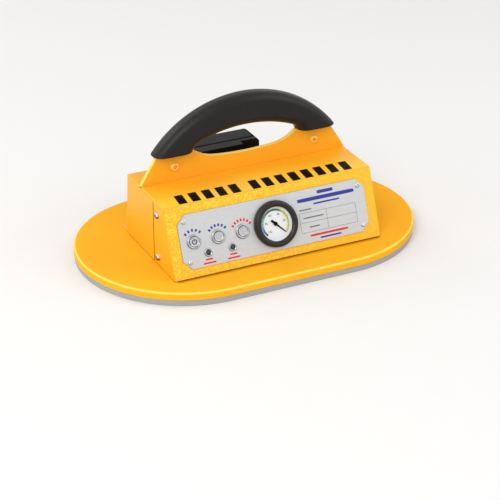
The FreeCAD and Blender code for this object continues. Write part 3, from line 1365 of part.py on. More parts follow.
def build_nodes():
    """Return every piece of the lifter by its name."""
    makers = (
        base_plate, seal_ring, suction_filter, handle_bracket, handle_grip, foot_bolts, tie_bolts, tie_nuts,
        front_cover, rear_cover, cover_screws, flange_screws, panel_plate, panel_screws, button_nuts,
        lamp_nuts, gauge_case, gauge_dial, gauge_ring, gauge_lens, gauge_bezel, gauge_pointer,
        gauge_ring_nut, gauge_stem, gauge_hose, manifold, manifold_screws, check_valve, release_valve,
        pump_hose, pump_body, pump_cover, pump_rotor, pump_vanes, pump_motor, pump_saddle, saddle_screws,
        pump_silencer, board_standoffs, control_board, battery_dock, dock_screws, battery_contacts,
        battery_case, battery_latch,
    )
    nodes = {maker.__name__: maker() for maker in makers}
    for name, u in zip(BUTTON_NAMES, BUTTON_US):
        nodes[name + "_button_body"] = button_body(u)
        nodes[name + "_button_cap"] = button_cap(u)
    for name, u in zip(LAMP_NAMES, LAMP_US):
        nodes[name + "_lamp_body"] = lamp_body(u)
        nodes[name + "_lamp_lens"] = lamp_lens(u)
    return nodes


def main():
    """Write each piece to its own file."""
    os.makedirs("parts", exist_ok=True)
    for name, shape in build_nodes().items():
        shape.exportStep(os.path.join("parts", name + ".step"))
        print(name, shape.isValid(), len(shape.Solids), round(shape.Volume, 1))


main()
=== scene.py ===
"""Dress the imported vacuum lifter: painted plate and housing, moulded grip, control panel, gauge and battery.

Everything is in metres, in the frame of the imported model: X to the right, Y to the rear, Z up.
"""
import json
import logging
import math
from dataclasses import dataclass
from enum import Enum
from typing import Callable, Sequence

import bmesh
import bpy
from mathutils import Color, Matrix, Vector


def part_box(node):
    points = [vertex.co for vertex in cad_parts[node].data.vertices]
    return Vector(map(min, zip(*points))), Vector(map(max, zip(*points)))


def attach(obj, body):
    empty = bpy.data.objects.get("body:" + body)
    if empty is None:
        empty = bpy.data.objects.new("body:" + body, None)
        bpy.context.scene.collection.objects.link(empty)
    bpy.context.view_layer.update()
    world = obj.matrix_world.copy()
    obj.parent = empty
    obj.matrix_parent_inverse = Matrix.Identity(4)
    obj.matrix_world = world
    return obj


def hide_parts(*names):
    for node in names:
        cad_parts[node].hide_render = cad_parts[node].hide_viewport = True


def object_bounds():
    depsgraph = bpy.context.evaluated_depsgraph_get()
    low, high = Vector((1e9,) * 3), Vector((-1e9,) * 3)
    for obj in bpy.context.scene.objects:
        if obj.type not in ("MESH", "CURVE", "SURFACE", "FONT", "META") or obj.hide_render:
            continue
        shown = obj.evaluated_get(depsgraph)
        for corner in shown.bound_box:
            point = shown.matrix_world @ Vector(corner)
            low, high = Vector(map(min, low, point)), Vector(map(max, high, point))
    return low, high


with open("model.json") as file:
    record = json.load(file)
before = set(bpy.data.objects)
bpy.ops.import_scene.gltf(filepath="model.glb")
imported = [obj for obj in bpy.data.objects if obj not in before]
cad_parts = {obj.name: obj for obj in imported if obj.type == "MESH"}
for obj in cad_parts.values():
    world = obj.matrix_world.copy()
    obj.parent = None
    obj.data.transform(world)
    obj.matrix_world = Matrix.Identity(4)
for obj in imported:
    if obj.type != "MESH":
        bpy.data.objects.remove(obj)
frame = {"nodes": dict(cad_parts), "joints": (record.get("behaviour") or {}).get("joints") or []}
CAD_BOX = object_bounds()
LOG = logging.getLogger("lifter")
ROOT_BODY = "lifter"
LOOK_PREFIX = "look_"
MM = 0.001
TOUCH = 0.001 * MM
ALONG = 0.9
SIDES = (-1.0, 1.0)
HEXAGON = 6

Colour = tuple[float, float, float, float]
Span = tuple[float, float]
Corner = tuple[float, float, float]
Test = Callable[[Vector, Vector], bool]
Socket = bpy.types.NodeSocket
Element = bmesh.types.BMVert | bmesh.types.BMEdge | bmesh.types.BMFace


def mm(*values: float) -> tuple[float, ...]:
    """Return lengths in metres from lengths in millimetres."""
    return tuple(value * MM for value in values)


def paint(red: int, green: int, blue: int) -> Colour:
    """Return a linear colour with full alpha from three display values of 0 to 255."""
    return (*Color((red / 255, green / 255, blue / 255)).from_srgb_to_scene_linear(), 1.0)


class Graph:
    """A shader node tree with short calls for adding and joining nodes."""

    def __init__(self, tree: bpy.types.NodeTree) -> None:
        """Keep the tree that the calls work on."""
        self.tree = tree

    def add(self, kind: str, **settings: object) -> bpy.types.Node:
        """Add a node.

        Args:
            kind: the node's type name.
            settings: attributes to set on the node.

        Returns:
            The new node.
        """
        node = self.tree.nodes.new(kind)
        for name, value in settings.items():
            setattr(node, name, value)
        return node

    def feed(self, socket: Socket, value: object) -> None:
        """Join a socket to an output, or set its plain value.

        Args:
            socket: the input to feed.
            value: an output or a plain value.
        """
        if isinstance(value, Socket):
            self.tree.links.new(value, socket)
        else:
            socket.default_value = value

    def give(self, name: str, value: object) -> None:
        """Feed one input of a material's shader."""
        self.feed(self.tree.nodes["Principled BSDF"].inputs[name], value)

    def made(self, kind: str, feeds: dict[str | int, object], output: str | int = 0,
             **settings: object) -> Socket:
        """Add a node and feed it.

        Args:
            kind: the node's type name.
            feeds: an output or a plain value for each input, by name or number.
            output: the name or number of the output that is wanted.
            settings: attributes to set on the node.

        Returns:
            That output.
        """
        node = self.add(kind, **settings)
        for key, value in feeds.items():
            self.feed(node.inputs[key], value)
        return node.outputs[output]

    def math(self, operation: str, first: object, second: object = 0.0) -> Socket:
        """Return the result of a math node."""
        return self.made("ShaderNodeMath", {0: first, 1: second}, operation=operation)

    def times(self, first: object, second: object) -> Socket:
        """Return a product."""
        return self.math("MULTIPLY", first, second)

    def clamped(self, value: object, low: float, high: float) -> Socket:
        """Return a smooth step that rises from 0 at low to 1 at high."""
        feeds = {"Value": value, "From Min": low, "From Max": high}
        return self.made("ShaderNodeMapRange", feeds, "Result", interpolation_type="SMOOTHSTEP")

    def spread(self, value: object, low: float, high: float) -> Socket:
        """Return a straight map of 0 to 1 onto low to high."""
        return self.made("ShaderNodeMapRange", {"Value": value, "To Min": low, "To Max": high}, "Result")

    def around(self, value: object, middle: float, span: Span) -> Socket:
        """Return a straight map of 0 to 1 onto a span about a middle."""
        return self.spread(value, middle + span[0], middle + span[1])

    def mix(self, share: object, first: object, second: object) -> Socket:
        """Return a mix of two colours."""
        feeds = {"Factor": share, "A": first, "B": second}
        return self.made("ShaderNodeMix", feeds, "Result", data_type="RGBA")

    def split(self, vector: Socket) -> dict[str, Socket]:
        """Return the parts of a vector by their names X, Y and Z."""
        first = self.made("ShaderNodeSeparateXYZ", {0: vector}, "X")
        return {socket.name: socket for socket in first.node.outputs}

    def coordinates(self, name: str) -> Socket:
        """Return one kind of the surface's own coordinates."""
        return self.add("ShaderNodeTexCoord").outputs[name]

    def normal(self) -> dict[str, Socket]:
        """Return the parts of the surface's own direction by their names X, Y and Z."""
        return self.split(self.coordinates("Normal"))

    def place(self, scale: Corner = (1.0, 1.0, 1.0), turn: Corner = (0.0, 0.0, 0.0)) -> Socket:
        """Return the object's own coordinates, turned and scaled."""
        feeds = {"Vector": self.coordinates("Object"), "Rotation": turn, "Scale": scale}
        return self.made("ShaderNodeMapping", feeds, "Vector")

    def noise(self, where: Socket, scale: object, detail: float = 3.0, rough: float = 0.55) -> Socket:
        """Return the value of a noise texture."""
        feeds = {"Vector": where, "Scale": scale, "Detail": detail, "Roughness": rough}
        return self.made("ShaderNodeTexNoise", feeds, "Fac")

    def cells(self, where: Socket, scale: object, feature: str = "F1") -> Socket:
        """Return the distance of a cell texture."""
        feeds = {"Vector": where, "Scale": scale}
        return self.made("ShaderNodeTexVoronoi", feeds, "Distance", feature=feature)

    def bump(self, height: object, depth: float) -> Socket:
        """Return the normal of a bump of a real depth."""
        return self.made("ShaderNodeBump", {"Height": height, "Distance": depth, "Strength": 1.0}, "Normal")

    def effect(self, effect: "Effect", **values: float) -> dict[str, Socket]:
        """Place a shared effect.

        Args:
            effect: which effect.
            values: the group's inputs by name.

        Returns:
            The group's outputs by name.
        """
        node = self.add("ShaderNodeGroup", node_tree=effect.tree())
        for name, value in values.items():
            self.feed(node.inputs[name], value)
        return {socket.name: socket for socket in node.outputs}


class Effect(Enum):
    """Surface effects that several finishes share, each a node group of its own."""

    HAMMERED = "hammered_coat"
    MOULDED = "moulded_grain"
    BRUSHED = "brushed_lines"
    SCUFFED = "fine_scuffs"
    SETTLED = "settled_dust"

    def tree(self) -> bpy.types.NodeTree:
        """Return the effect's node group, built the first time.

        Returns:
            The node group.
        """
        found = bpy.data.node_groups.get(self.value)
        if found is None:
            found = bpy.data.node_groups.new(self.value, "ShaderNodeTree")
            getattr(EffectMaker(Graph(found)), self.value)()
        return found


@dataclass(frozen=True)
class EffectMaker:
    """Builds the inside of each shared effect. Hairs are a stretch, a turn and a step from clear to full."""

    graph: Graph
    fine_scale: float = 1.6
    broad_scale: float = 0.45
    pebble_height: float = 0.6
    fine_height: float = 0.5
    fine_fleck: float = 0.8
    broad_fleck: float = 0.2
    fleck_step: Span = (0.46, 0.6)
    cloud_scale: float = 14.0
    tone_scale: float = 22.0
    line_stretch: Corner = (1.0, 40.0, 40.0)
    line_step: Span = (0.3, 0.7)
    hair_scale: float = 3.0
    level_hairs: tuple[Corner, Corner, Span] = ((9.0, 190.0, 60.0), (0.0, 0.4, 0.5), (0.68, 0.74))
    steep_hairs: tuple[Corner, Corner, Span] = ((210.0, 12.0, 70.0), (0.3, 0.0, -0.7), (0.7, 0.76))
    patch_scale: float = 30.0
    patch_step: Span = (0.55, 0.75)
    patch_least: float = 0.25
    up_step: Span = (0.2, 0.95)
    mote_scale: float = 260.0
    mote_step: Span = (0.42, 0.72)
    drift_scale: float = 9.0
    drift_step: Span = (0.3, 0.75)

    def ports(self, inputs: dict[str, float], outputs: Sequence[str]) -> tuple[dict, dict]:
        """Give the group its sockets.

        Args:
            inputs: default value of each input by name.
            outputs: names of the outputs.

        Returns:
            The sockets that give the inputs' values and those that take the outputs', by name.
        """
        interface = self.graph.tree.interface
        for name, value in inputs.items():
            socket = interface.new_socket(name, in_out="INPUT", socket_type="NodeSocketFloat")
            socket.default_value = value
        for name in outputs:
            interface.new_socket(name, in_out="OUTPUT", socket_type="NodeSocketFloat")
        given = self.graph.add("NodeGroupInput").outputs
        result = self.graph.add("NodeGroupOutput").inputs
        return {name: given[name] for name in inputs}, {name: result[name] for name in outputs}

    def hammered_coat(self) -> None:
        """Build the pebbled skin of a powder coat: light flecks and a rolling height."""
        graph = self.graph
        given, result = self.ports({"Scale": 400.0}, ("Fleck", "Height", "Cloud"))
        where = graph.place()
        scale = given["Scale"]
        pebbles = graph.cells(where, scale, "SMOOTH_F1")
        fine = graph.noise(where, graph.times(scale, self.fine_scale), detail=4.0, rough=0.6)
        broad = graph.noise(where, graph.times(scale, self.broad_scale), detail=2.0, rough=0.5)
        raised = graph.times(pebbles, self.pebble_height)
        height = graph.math("ADD", raised, graph.times(fine, self.fine_height))
        bright = graph.times(fine, self.fine_fleck)
        mingled = graph.math("ADD", bright, graph.times(broad, self.broad_fleck))
        graph.feed(result["Fleck"], graph.clamped(mingled, *self.fleck_step))
        graph.feed(result["Height"], height)
        graph.feed(result["Cloud"], graph.noise(where, self.cloud_scale, rough=0.5))

    def moulded_grain(self) -> None:
        """Build the spark-eroded grain of a moulding: a fine height and a soft tone."""
        graph = self.graph
        given, result = self.ports({"Scale": 900.0}, ("Height", "Tone"))
        where = graph.place()
        grain = graph.cells(where, given["Scale"])
        fine = graph.noise(where, given["Scale"], detail=2.0, rough=0.6)
        graph.feed(result["Height"], graph.math("ADD", grain, fine))
        graph.feed(result["Tone"], graph.noise(where, self.tone_scale, detail=4.0, rough=0.6))

    def brushed_lines(self) -> None:
        """Build straight brushing along X: a fine tone and a height."""
        graph = self.graph
        given, result = self.ports({"Scale": 60.0}, ("Tone", "Height"))
        lines = graph.noise(graph.place(scale=self.line_stretch), given["Scale"], detail=4.0, rough=0.65)
        graph.feed(result["Tone"], graph.clamped(lines, *self.line_step))
        graph.feed(result["Height"], lines)

    def hairs(self, stretch: Corner, turn: Corner, step: Span) -> Socket:
        """Return a mask of hair scratches that run one way."""
        where = self.graph.place(scale=stretch, turn=turn)
        return self.graph.clamped(self.graph.noise(where, self.hair_scale, detail=2.0, rough=0.5), *step)

    def fine_scuffs(self) -> None:
        """Build sparse hair scratches and rubbed patches as one mask."""
        graph = self.graph
        given, result = self.ports({"Amount": 0.3}, ("Mask",))
        level = self.hairs(*self.level_hairs)
        steep = self.hairs(*self.steep_hairs)
        rubbing = graph.noise(graph.place(), self.patch_scale, detail=5.0, rough=0.65)
        patches = graph.spread(graph.clamped(rubbing, *self.patch_step), self.patch_least, 1.0)
        mask = graph.times(graph.math("MAXIMUM", level, steep), patches)
        graph.feed(result["Mask"], graph.times(mask, given["Amount"]))

    def settled_dust(self) -> None:
        """Build pale dust that lies on faces that look up, as a mask."""
        graph = self.graph
        given, result = self.ports({"Amount": 0.15}, ("Mask",))
        up = graph.clamped(graph.normal()["Z"], *self.up_step)
        motes = graph.noise(graph.place(), self.mote_scale, detail=5.0, rough=0.7)
        drift = graph.noise(graph.place(), self.drift_scale, rough=0.6)
        lying = graph.times(graph.clamped(motes, *self.mote_step), graph.clamped(drift, *self.drift_step))
        graph.feed(result["Mask"], graph.times(graph.times(up, lying), given["Amount"]))


DUST_PALE = paint(226, 220, 208)
SCRATCH_PALE = paint(236, 238, 244)
PINHOLE_PALE = paint(214, 214, 216)


@dataclass(frozen=True)
class Finish:
    """A named surface finish. Each kind of finish builds its own nodes."""

    name: str
    colour: Colour

    def material(self) -> bpy.types.Material:
        """Return the finish's material, built the first time.

        Returns:
            The material.
        """
        title = LOOK_PREFIX + self.name
        found = bpy.data.materials.get(title)
        if found is None:
            found = bpy.data.materials.new(title)
            found.use_nodes = True
            self.graph.give("Base Color", self.colour)
            self.wire()
        return found

    @property
    def graph(self) -> Graph:
        """Return the nodes of the finish's material."""
        return Graph(bpy.data.materials[LOOK_PREFIX + self.name].node_tree)

    def wire(self) -> None:
        """Join the finish's nodes to the shader's inputs."""
        raise NotImplementedError

    def dusted(self, graph: Graph, colour: object, amount: float) -> Socket:
        """Return a colour with pale dust on the faces that look up."""
        if not amount:
            return colour
        return graph.mix(graph.effect(Effect.SETTLED, Amount=amount)["Mask"], colour, DUST_PALE)


class Edge(Enum):
    """Where a painted highlight line runs on a coat: nowhere, round an upper rim, or on a sheet's cut edge."""

    NONE = "none"
    RIM = "rim"
    SHEET = "sheet"


@dataclass(frozen=True)
class FootGrime:
    """A painted shadow on a coat along the front foot of what stands on it, fading out from the foot's line.
    """

    half_width: float
    front: float
    reach: float = 9.0 * MM
    end_fade: float = 6.0 * MM
    share: float = 0.75
    shade: Colour = paint(126, 60, 2)

    def soiled(self, graph: Graph, spot: dict[str, Socket], colour: Socket) -> Socket:
        """Return a colour with the painted shadow on it.

        Args:
            graph: the material's nodes.
            spot: the parts of the surface's place.
            colour: the colour without the shadow.

        Returns:
            The shadowed colour.
        """
        across = graph.math("ABSOLUTE", spot["X"])
        within = graph.clamped(across, self.half_width, self.half_width - self.end_fade)
        away = graph.math("ABSOLUTE", graph.math("SUBTRACT", spot["Y"], self.front))
        near = graph.math("POWER", graph.clamped(away, self.reach, 0.0), 2.0)
        return graph.mix(graph.times(graph.times(near, within), self.share), colour, self.shade)


@dataclass(frozen=True)
class PowderCoat(Finish):
    """Satin powder coat with a pebbled skin, whose flecks show most on and near the sloped front.

    A step is a pair of values of the surface's direction or place, from clear to full.
    """

    light: Colour = paint(255, 232, 90)
    deep: Colour = paint(240, 144, 18)
    deep_share: float = 0.4
    fleck_share: float = 0.1
    front_share: float = 1.0
    front_line: Span = (-0.012, -0.06)
    fleck_fade: Span = (-0.02, 0.1)
    fleck_rest: float = 0.4
    # The share of painted light on the top's front strip and on the smooth part of the slope.
    front_glow: float = 0.0
    slope_step: Span = (-0.75, -0.9)
    level_step: Span = (0.9, 0.99)
    edge: Edge = Edge.NONE
    edge_share: float = 0.85
    rim_start: Span = (0.3, 0.6)
    rim_end: Span = (0.985, 0.88)
    cut_step: Span = (0.9, 0.4)
    lit_step: Span = (-0.3, -0.7)
    lit_least: float = 0.65
    scale: float = 640.0
    depth: float = 0.12 * MM
    roughness: float = 0.4
    wear_span: Span = (-0.06, 0.08)
    scuffs: float = 0.2
    specular: float = 0.16
    dust: float = 0.04
    grime: FootGrime | None = None

    def edge_mask(self, graph: Graph) -> Socket | float:
        """Return how far each spot lies on a painted highlight line along an edge.

        Args:
            graph: the material's nodes.

        Returns:
            The mask.
        """
        looks = graph.normal()
        if self.edge is Edge.RIM:
            # A painted highlight on the rounding between the top and the side.
            upper = graph.clamped(looks["Z"], *self.rim_start)
            return graph.times(upper, graph.clamped(looks["Z"], *self.rim_end))
        if self.edge is Edge.SHEET:
            # A painted highlight on cut sheet edges, brightest on those that face left.
            cut = graph.clamped(graph.math("ABSOLUTE", looks["Y"]), *self.cut_step)
            lit = graph.clamped(looks["X"], *self.lit_step)
            return graph.times(cut, graph.spread(lit, self.lit_least, 1.0))
        return 0.0

    def wire(self) -> None:
        """Join clouding, flecks, the painted highlights on edges and near the front, scuffs, the painted
        shadow along a foot, dust and the pebbled height to the shader.
        """
        graph = self.graph
        skin = graph.effect(Effect.HAMMERED, Scale=self.scale)
        scuffs = graph.effect(Effect.SCUFFED, Amount=self.scuffs)["Mask"]
        looks = graph.normal()
        spot = graph.split(graph.place())
        slope = graph.clamped(looks["Y"], *self.slope_step)
        smooth = graph.clamped(spot["X"], *self.fleck_fade)
        fade = graph.spread(smooth, 1.0, self.fleck_rest)
        share = graph.times(graph.spread(slope, self.fleck_share, self.front_share), fade)
        level = graph.clamped(looks["Z"], *self.level_step)
        # Painted light: the top near its front edge, and the slope where its flecks fade, are mixed towards
        # the light colour.
        near = graph.times(graph.clamped(spot["Y"], *self.front_line), level)
        even = graph.times(graph.times(smooth, slope), self.fleck_rest)
        glow = graph.times(graph.math("MAXIMUM", near, even), self.front_glow)
        colour = graph.mix(graph.spread(skin["Cloud"], 0.0, self.deep_share), self.colour, self.deep)
        # The painted edge highlight, mixed towards the light colour below.
        edge = graph.times(self.edge_mask(graph), self.edge_share)
        for part in (glow, graph.times(skin["Fleck"], share), edge, scuffs):
            colour = graph.mix(part, colour, self.light)
        # A painted shadow along the foot of what stands on the coat.
        if self.grime is not None:
            colour = self.grime.soiled(graph, spot, colour)
        graph.give("Base Color", self.dusted(graph, colour, self.dust))
        worn = graph.math("ADD", graph.around(skin["Cloud"], self.roughness, self.wear_span), scuffs)
        graph.give("Roughness", worn)
        graph.give("Normal", graph.bump(skin["Height"], self.depth))
        graph.give("Specular IOR Level", self.specular)


@dataclass(frozen=True)
class Moulding(Finish):
    """Satin moulded plastic with a fine grain and rubbed patches."""

    rubbed: Colour = paint(62, 60, 58)
    rubbed_share: float = 0.18
    scale: float = 1100.0
    depth: float = 0.06 * MM
    roughness: float = 0.38
    wear_span: Span = (-0.1, 0.1)
    specular: float = 0.22
    scuffs: float = 0.2
    dust: float = 0.03

    def wire(self) -> None:
        """Join tone, scuffs, dust and grain to the shader."""
        graph = self.graph
        grain = graph.effect(Effect.MOULDED, Scale=self.scale)
        scuffs = graph.effect(Effect.SCUFFED, Amount=self.scuffs)["Mask"]
        toned = graph.mix(graph.spread(grain["Tone"], 0.0, self.rubbed_share), self.colour, self.rubbed)
        rubbed = graph.mix(scuffs, toned, self.rubbed)
        graph.give("Base Color", self.dusted(graph, rubbed, self.dust))
        graph.give("Roughness", graph.around(grain["Tone"], self.roughness, self.wear_span))
        graph.give("Normal", graph.bump(grain["Height"], self.depth))
        graph.give("Specular IOR Level", self.specular)


@dataclass(frozen=True)
class Rubber(Moulding):
    """Matte rubber with fine pores and a chalky bloom where a moulding is rubbed."""

    rubbed_share: float = 0.35
    scale: float = 700.0
    depth: float = 0.08 * MM
    roughness: float = 0.68
    wear_span: Span = (-0.08, 0.1)
    specular: float = 0.3
    scuffs: float = 0.3
    dust: float = 0.0


@dataclass(frozen=True)
class BareMetal(Finish):
    """Plated or machined metal with faint brushing, hair scratches and painted shade on what looks down."""

    dull: Colour = paint(120, 122, 126)
    tarnish: Colour = paint(44, 44, 48)
    tarnish_share: float = 0.0
    under_step: Span = (0.25, -0.35)
    scale: float = 90.0
    depth: float = 0.02 * MM
    roughness: float = 0.22
    wear_span: Span = (-0.05, 0.1)
    brushing: float = 0.25
    scuffs: float = 0.5
    scuff_rough: float = 0.3

    def wire(self) -> None:
        """Join brushing, scratches and the painted shade on what looks down to the shader."""
        graph = self.graph
        lines = graph.effect(Effect.BRUSHED, Scale=self.scale)
        scuffs = graph.effect(Effect.SCUFFED, Amount=self.scuffs)["Mask"]
        brushed = graph.mix(graph.times(lines["Tone"], self.brushing), self.colour, self.dull)
        # Painted shade on faces that look down, standing for the dark reflection of the ground.
        under = graph.times(graph.clamped(graph.normal()["Z"], *self.under_step), self.tarnish_share)
        underside_shaded = graph.mix(under, graph.mix(scuffs, brushed, self.dull), self.tarnish)
        graph.give("Base Color", underside_shaded)
        rough = graph.around(lines["Tone"], self.roughness, self.wear_span)
        graph.give("Roughness", graph.math("ADD", rough, graph.times(scuffs, self.scuff_rough)))
        graph.give("Normal", graph.bump(lines["Height"], self.depth))
        graph.give("Metallic", 1.0)


@dataclass(frozen=True)
class BrushedSheet(Finish):
    """Pale anodised sheet with straight brushing, scarcely metallic, so that it keeps its grey."""

    dull: Colour = paint(178, 180, 184)
    dull_share: float = 0.45
    cloud_scale: float = 28.0
    cloud_share: float = 0.22
    # The colour of the painted shadow on the cut rim.
    rim: Colour = paint(104, 106, 112)
    rim_step: Span = (0.96, 0.85)
    out: Corner = (0.0, -0.92613, 0.37719)
    scale: float = 75.0
    depth: float = 0.03 * MM
    roughness: float = 0.42
    wear_span: Span = (-0.08, 0.08)
    scuffs: float = 0.25
    metallic: float = 0.35

    def wire(self) -> None:
        """Join brushing, clouding, scratches and the painted shadow on the cut rim to the shader."""
        graph = self.graph
        feeds = {0: graph.coordinates("Normal"), 1: self.out}
        outward = graph.made("ShaderNodeVectorMath", feeds, "Value", operation="DOT_PRODUCT")
        # Painted shadow on the cut rim: faces that do not look out of the panel.
        cut = graph.clamped(outward, *self.rim_step)
        lines = graph.effect(Effect.BRUSHED, Scale=self.scale)
        scuffs = graph.effect(Effect.SCUFFED, Amount=self.scuffs)["Mask"]
        clouds = graph.noise(graph.place(), self.cloud_scale, detail=4.0, rough=0.6)
        brushed = graph.mix(graph.times(lines["Tone"], self.dull_share), self.colour, self.dull)
        clouded = graph.mix(graph.spread(clouds, 0.0, self.cloud_share), brushed, self.dull)
        scratched = graph.mix(scuffs, clouded, SCRATCH_PALE)
        graph.give("Base Color", graph.mix(cut, scratched, self.rim))
        graph.give("Roughness", graph.around(lines["Tone"], self.roughness, self.wear_span))
        graph.give("Normal", graph.bump(lines["Height"], self.depth))
        graph.give("Metallic", self.metallic)


@dataclass(frozen=True)
class Ink(Finish):
    """Screen-printed ink with faint pinholes and uneven cover."""

    pinhole_scale: float = 1500.0
    pinhole_step: Span = (0.62, 0.82)
    pinhole_share: Span = (0.05, 0.2)
    drift_scale: float = 120.0
    roughness: float = 0.5
    wear_span: Span = (-0.1, 0.1)
    specular: float = 0.25

    def wire(self) -> None:
        """Join the uneven cover to the shader."""
        graph = self.graph
        cover = graph.noise(graph.place(), self.pinhole_scale, rough=0.6)
        drift = graph.noise(graph.place(), self.drift_scale, rough=0.5)
        holes = graph.clamped(cover, *self.pinhole_step)
        share = graph.times(holes, graph.spread(drift, *self.pinhole_share))
        graph.give("Base Color", graph.mix(share, self.colour, PINHOLE_PALE))
        graph.give("Roughness", graph.around(drift, self.roughness, self.wear_span))
        graph.give("Specular IOR Level", self.specular)


@dataclass(frozen=True)
class Glass(Finish):
    """Clear gauge glass with a trace of haze."""

    body: float = 0.03
    refraction: float = 1.45
    haze_scale: float = 45.0
    haze_step: Span = (0.5, 0.8)
    roughness: Span = (0.01, 0.05)

    def wire(self) -> None:
        """Join the haze to the shader."""
        graph = self.graph
        clouds = graph.noise(graph.place(), self.haze_scale, detail=4.0, rough=0.6)
        haze = graph.clamped(clouds, *self.haze_step)
        graph.give("Roughness", graph.spread(haze, *self.roughness))
        graph.give("Alpha", self.body)
        graph.give("IOR", self.refraction)


@dataclass(frozen=True)
class DarkLens(Finish):
    """Tinted lamp lens, unlit, over a moulded ripple."""

    glow: Colour = paint(70, 92, 98)
    ripple_scale: float = 900.0
    ripple_step: Span = (0.1, 0.6)
    ripple_depth: float = 0.1 * MM
    roughness: Span = (0.08, 0.22)
    coat: float = 0.25
    coat_roughness: float = 0.06
    specular: float = 0.2

    def wire(self) -> None:
        """Join the ripple and its tint to the shader."""
        graph = self.graph
        ripple = graph.cells(graph.place(), self.ripple_scale, "SMOOTH_F1")
        tint = graph.mix(graph.clamped(ripple, *self.ripple_step), self.glow, self.colour)
        graph.give("Base Color", tint)
        graph.give("Roughness", graph.spread(ripple, *self.roughness))
        graph.give("Normal", graph.bump(ripple, self.ripple_depth))
        graph.give("Coat Weight", self.coat)
        graph.give("Coat Roughness", self.coat_roughness)
        graph.give("Specular IOR Level", self.specular)


@dataclass(frozen=True)
class Sintered(Finish):
    """Pressed metal grains with open pores between them."""

    pore: Colour = paint(58, 40, 20)
    pore_step: Span = (0.35, 0.7)
    pore_depth: float = 0.3 * MM
    grain_scale: float = 1400.0
    roughness: Span = (0.35, 0.7)
    metallic: float = 0.9

    def wire(self) -> None:
        """Join the grains and their pores to the shader."""
        graph = self.graph
        grains = graph.cells(graph.place(), self.grain_scale)
        tint = graph.mix(graph.clamped(grains, *self.pore_step), self.colour, self.pore)
        graph.give("Base Color", tint)
        graph.give("Roughness", graph.spread(grains, *self.roughness))
        graph.give("Normal", graph.bump(graph.math("SUBTRACT", 1.0, grains), self.pore_depth))
        graph.give("Metallic", self.metallic)


@dataclass(frozen=True)
class CircuitBoard(Finish):
    """Green lacquered board with paler tracks."""

    track: Colour = paint(62, 132, 76)
    track_scale: float = 90.0
    track_width: float = 0.03
    track_height: float = 0.05 * MM
    lacquer_scale: float = 200.0
    roughness: Span = (0.25, 0.45)

    def wire(self) -> None:
        """Join the tracks to the shader."""
        graph = self.graph
        where = graph.place(turn=(math.radians(90), 0.0, 0.0))
        feeds = {"Vector": where, "Scale": self.track_scale, "Mortar Size": self.track_width}
        tracks = graph.made("ShaderNodeTexBrick", feeds, "Fac")
        graph.give("Base Color", graph.mix(tracks, self.colour, self.track))
        lacquer = graph.noise(graph.place(), self.lacquer_scale)
        graph.give("Roughness", graph.spread(lacquer, *self.roughness))
        graph.give("Normal", graph.bump(tracks, self.track_height))


# The plate's coat gets a painted shadow along the housing's front foot.
HOUSING_FOOT_SHADOW = FootGrime(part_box("front_cover")[1].x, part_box("front_cover")[0].y)
YELLOW_COAT = PowderCoat("yellow_coat", paint(255, 182, 34), light=paint(255, 230, 72), front_glow=0.45,
                         specular=0.3, dust=0.01)
PLATE_COAT = PowderCoat("plate_coat", paint(255, 188, 36), light=paint(255, 240, 120), front_share=0.12,
                        edge=Edge.RIM, edge_share=0.65, depth=0.08 * MM, specular=0.02, dust=0.01,
                        grime=HOUSING_FOOT_SHADOW)
BRACKET_COAT = PowderCoat("bracket_coat", paint(255, 182, 42), light=paint(255, 226, 110), fleck_share=0.08,
                          front_share=0.1, edge=Edge.SHEET, edge_share=0.9, depth=0.08 * MM, specular=0.12,
                          dust=0.01)
BOLT_COAT = PowderCoat("bolt_coat", paint(255, 208, 96), light=paint(255, 236, 160), deep=paint(250, 176, 60),
                       fleck_share=0.08, front_share=0.1, roughness=0.22, specular=0.6)
GREY_SEAL = Rubber("grey_seal", paint(160, 160, 160), rubbed=paint(196, 196, 195))
HOSE_BLACK = Rubber("hose_black", paint(26, 26, 27), rubbed=paint(70, 70, 72))
# A dark brown for the strips that paint the shadow lines at the covers' foot and seams.
SHADOW_STRIP_BROWN = Rubber("gasket_brown", paint(54, 34, 16), rubbed=paint(74, 50, 26), roughness=0.85,
                      specular=0.1)
FLOOR_PALE = Rubber("floor_pale", paint(241, 240, 239), rubbed=paint(245, 244, 243), roughness=0.8)
CHARCOAL_GRIP = Moulding("charcoal_grip", paint(28, 26, 25), roughness=0.34, specular=0.18)
BATTERY_BLACK = Moulding("battery_black", paint(18, 18, 19), scale=800.0, depth=0.1 * MM, roughness=0.45,
                         specular=0.09)
LATCH_GREY = Moulding("latch_grey", paint(58, 58, 61), scale=900.0)
BEZEL_BLACK = Moulding("bezel_black", paint(32, 28, 26), roughness=0.32, specular=0.3)
POINTER_BLACK = Moulding("pointer_black", paint(8, 8, 9), rubbed=paint(16, 16, 17), specular=0.05, scuffs=0.1,
                         dust=0.0)
CARBON = Moulding("carbon_vane", paint(30, 30, 32), roughness=0.55)
ZINC = BareMetal("zinc_plate", paint(222, 223, 227), tarnish_share=0.8, roughness=0.2)
CHROME = BareMetal("button_chrome", paint(186, 187, 191), dull=paint(118, 120, 125), tarnish_share=0.85,
                   roughness=0.2, brushing=0.15)
POLISHED = BareMetal("polished_ring", paint(224, 225, 228), roughness=0.18, brushing=0.1)
TURNED_SILVER = BareMetal("turned_silver", paint(198, 199, 204), roughness=0.34)
BRASS = BareMetal("turned_brass", paint(206, 166, 90), dull=paint(140, 104, 48), roughness=0.28)
PUMP_ALLOY = BareMetal("pump_alloy", paint(176, 178, 182), roughness=0.4)
MOTOR_STEEL = BareMetal("motor_steel", paint(150, 152, 156), roughness=0.32)
PALE_PANEL = BrushedSheet("pale_panel", paint(212, 214, 215))
INK_BLACK = Ink("ink_black", paint(8, 6, 4), specular=0.04)
INK_SLATE = Ink("ink_slate", paint(30, 33, 40))
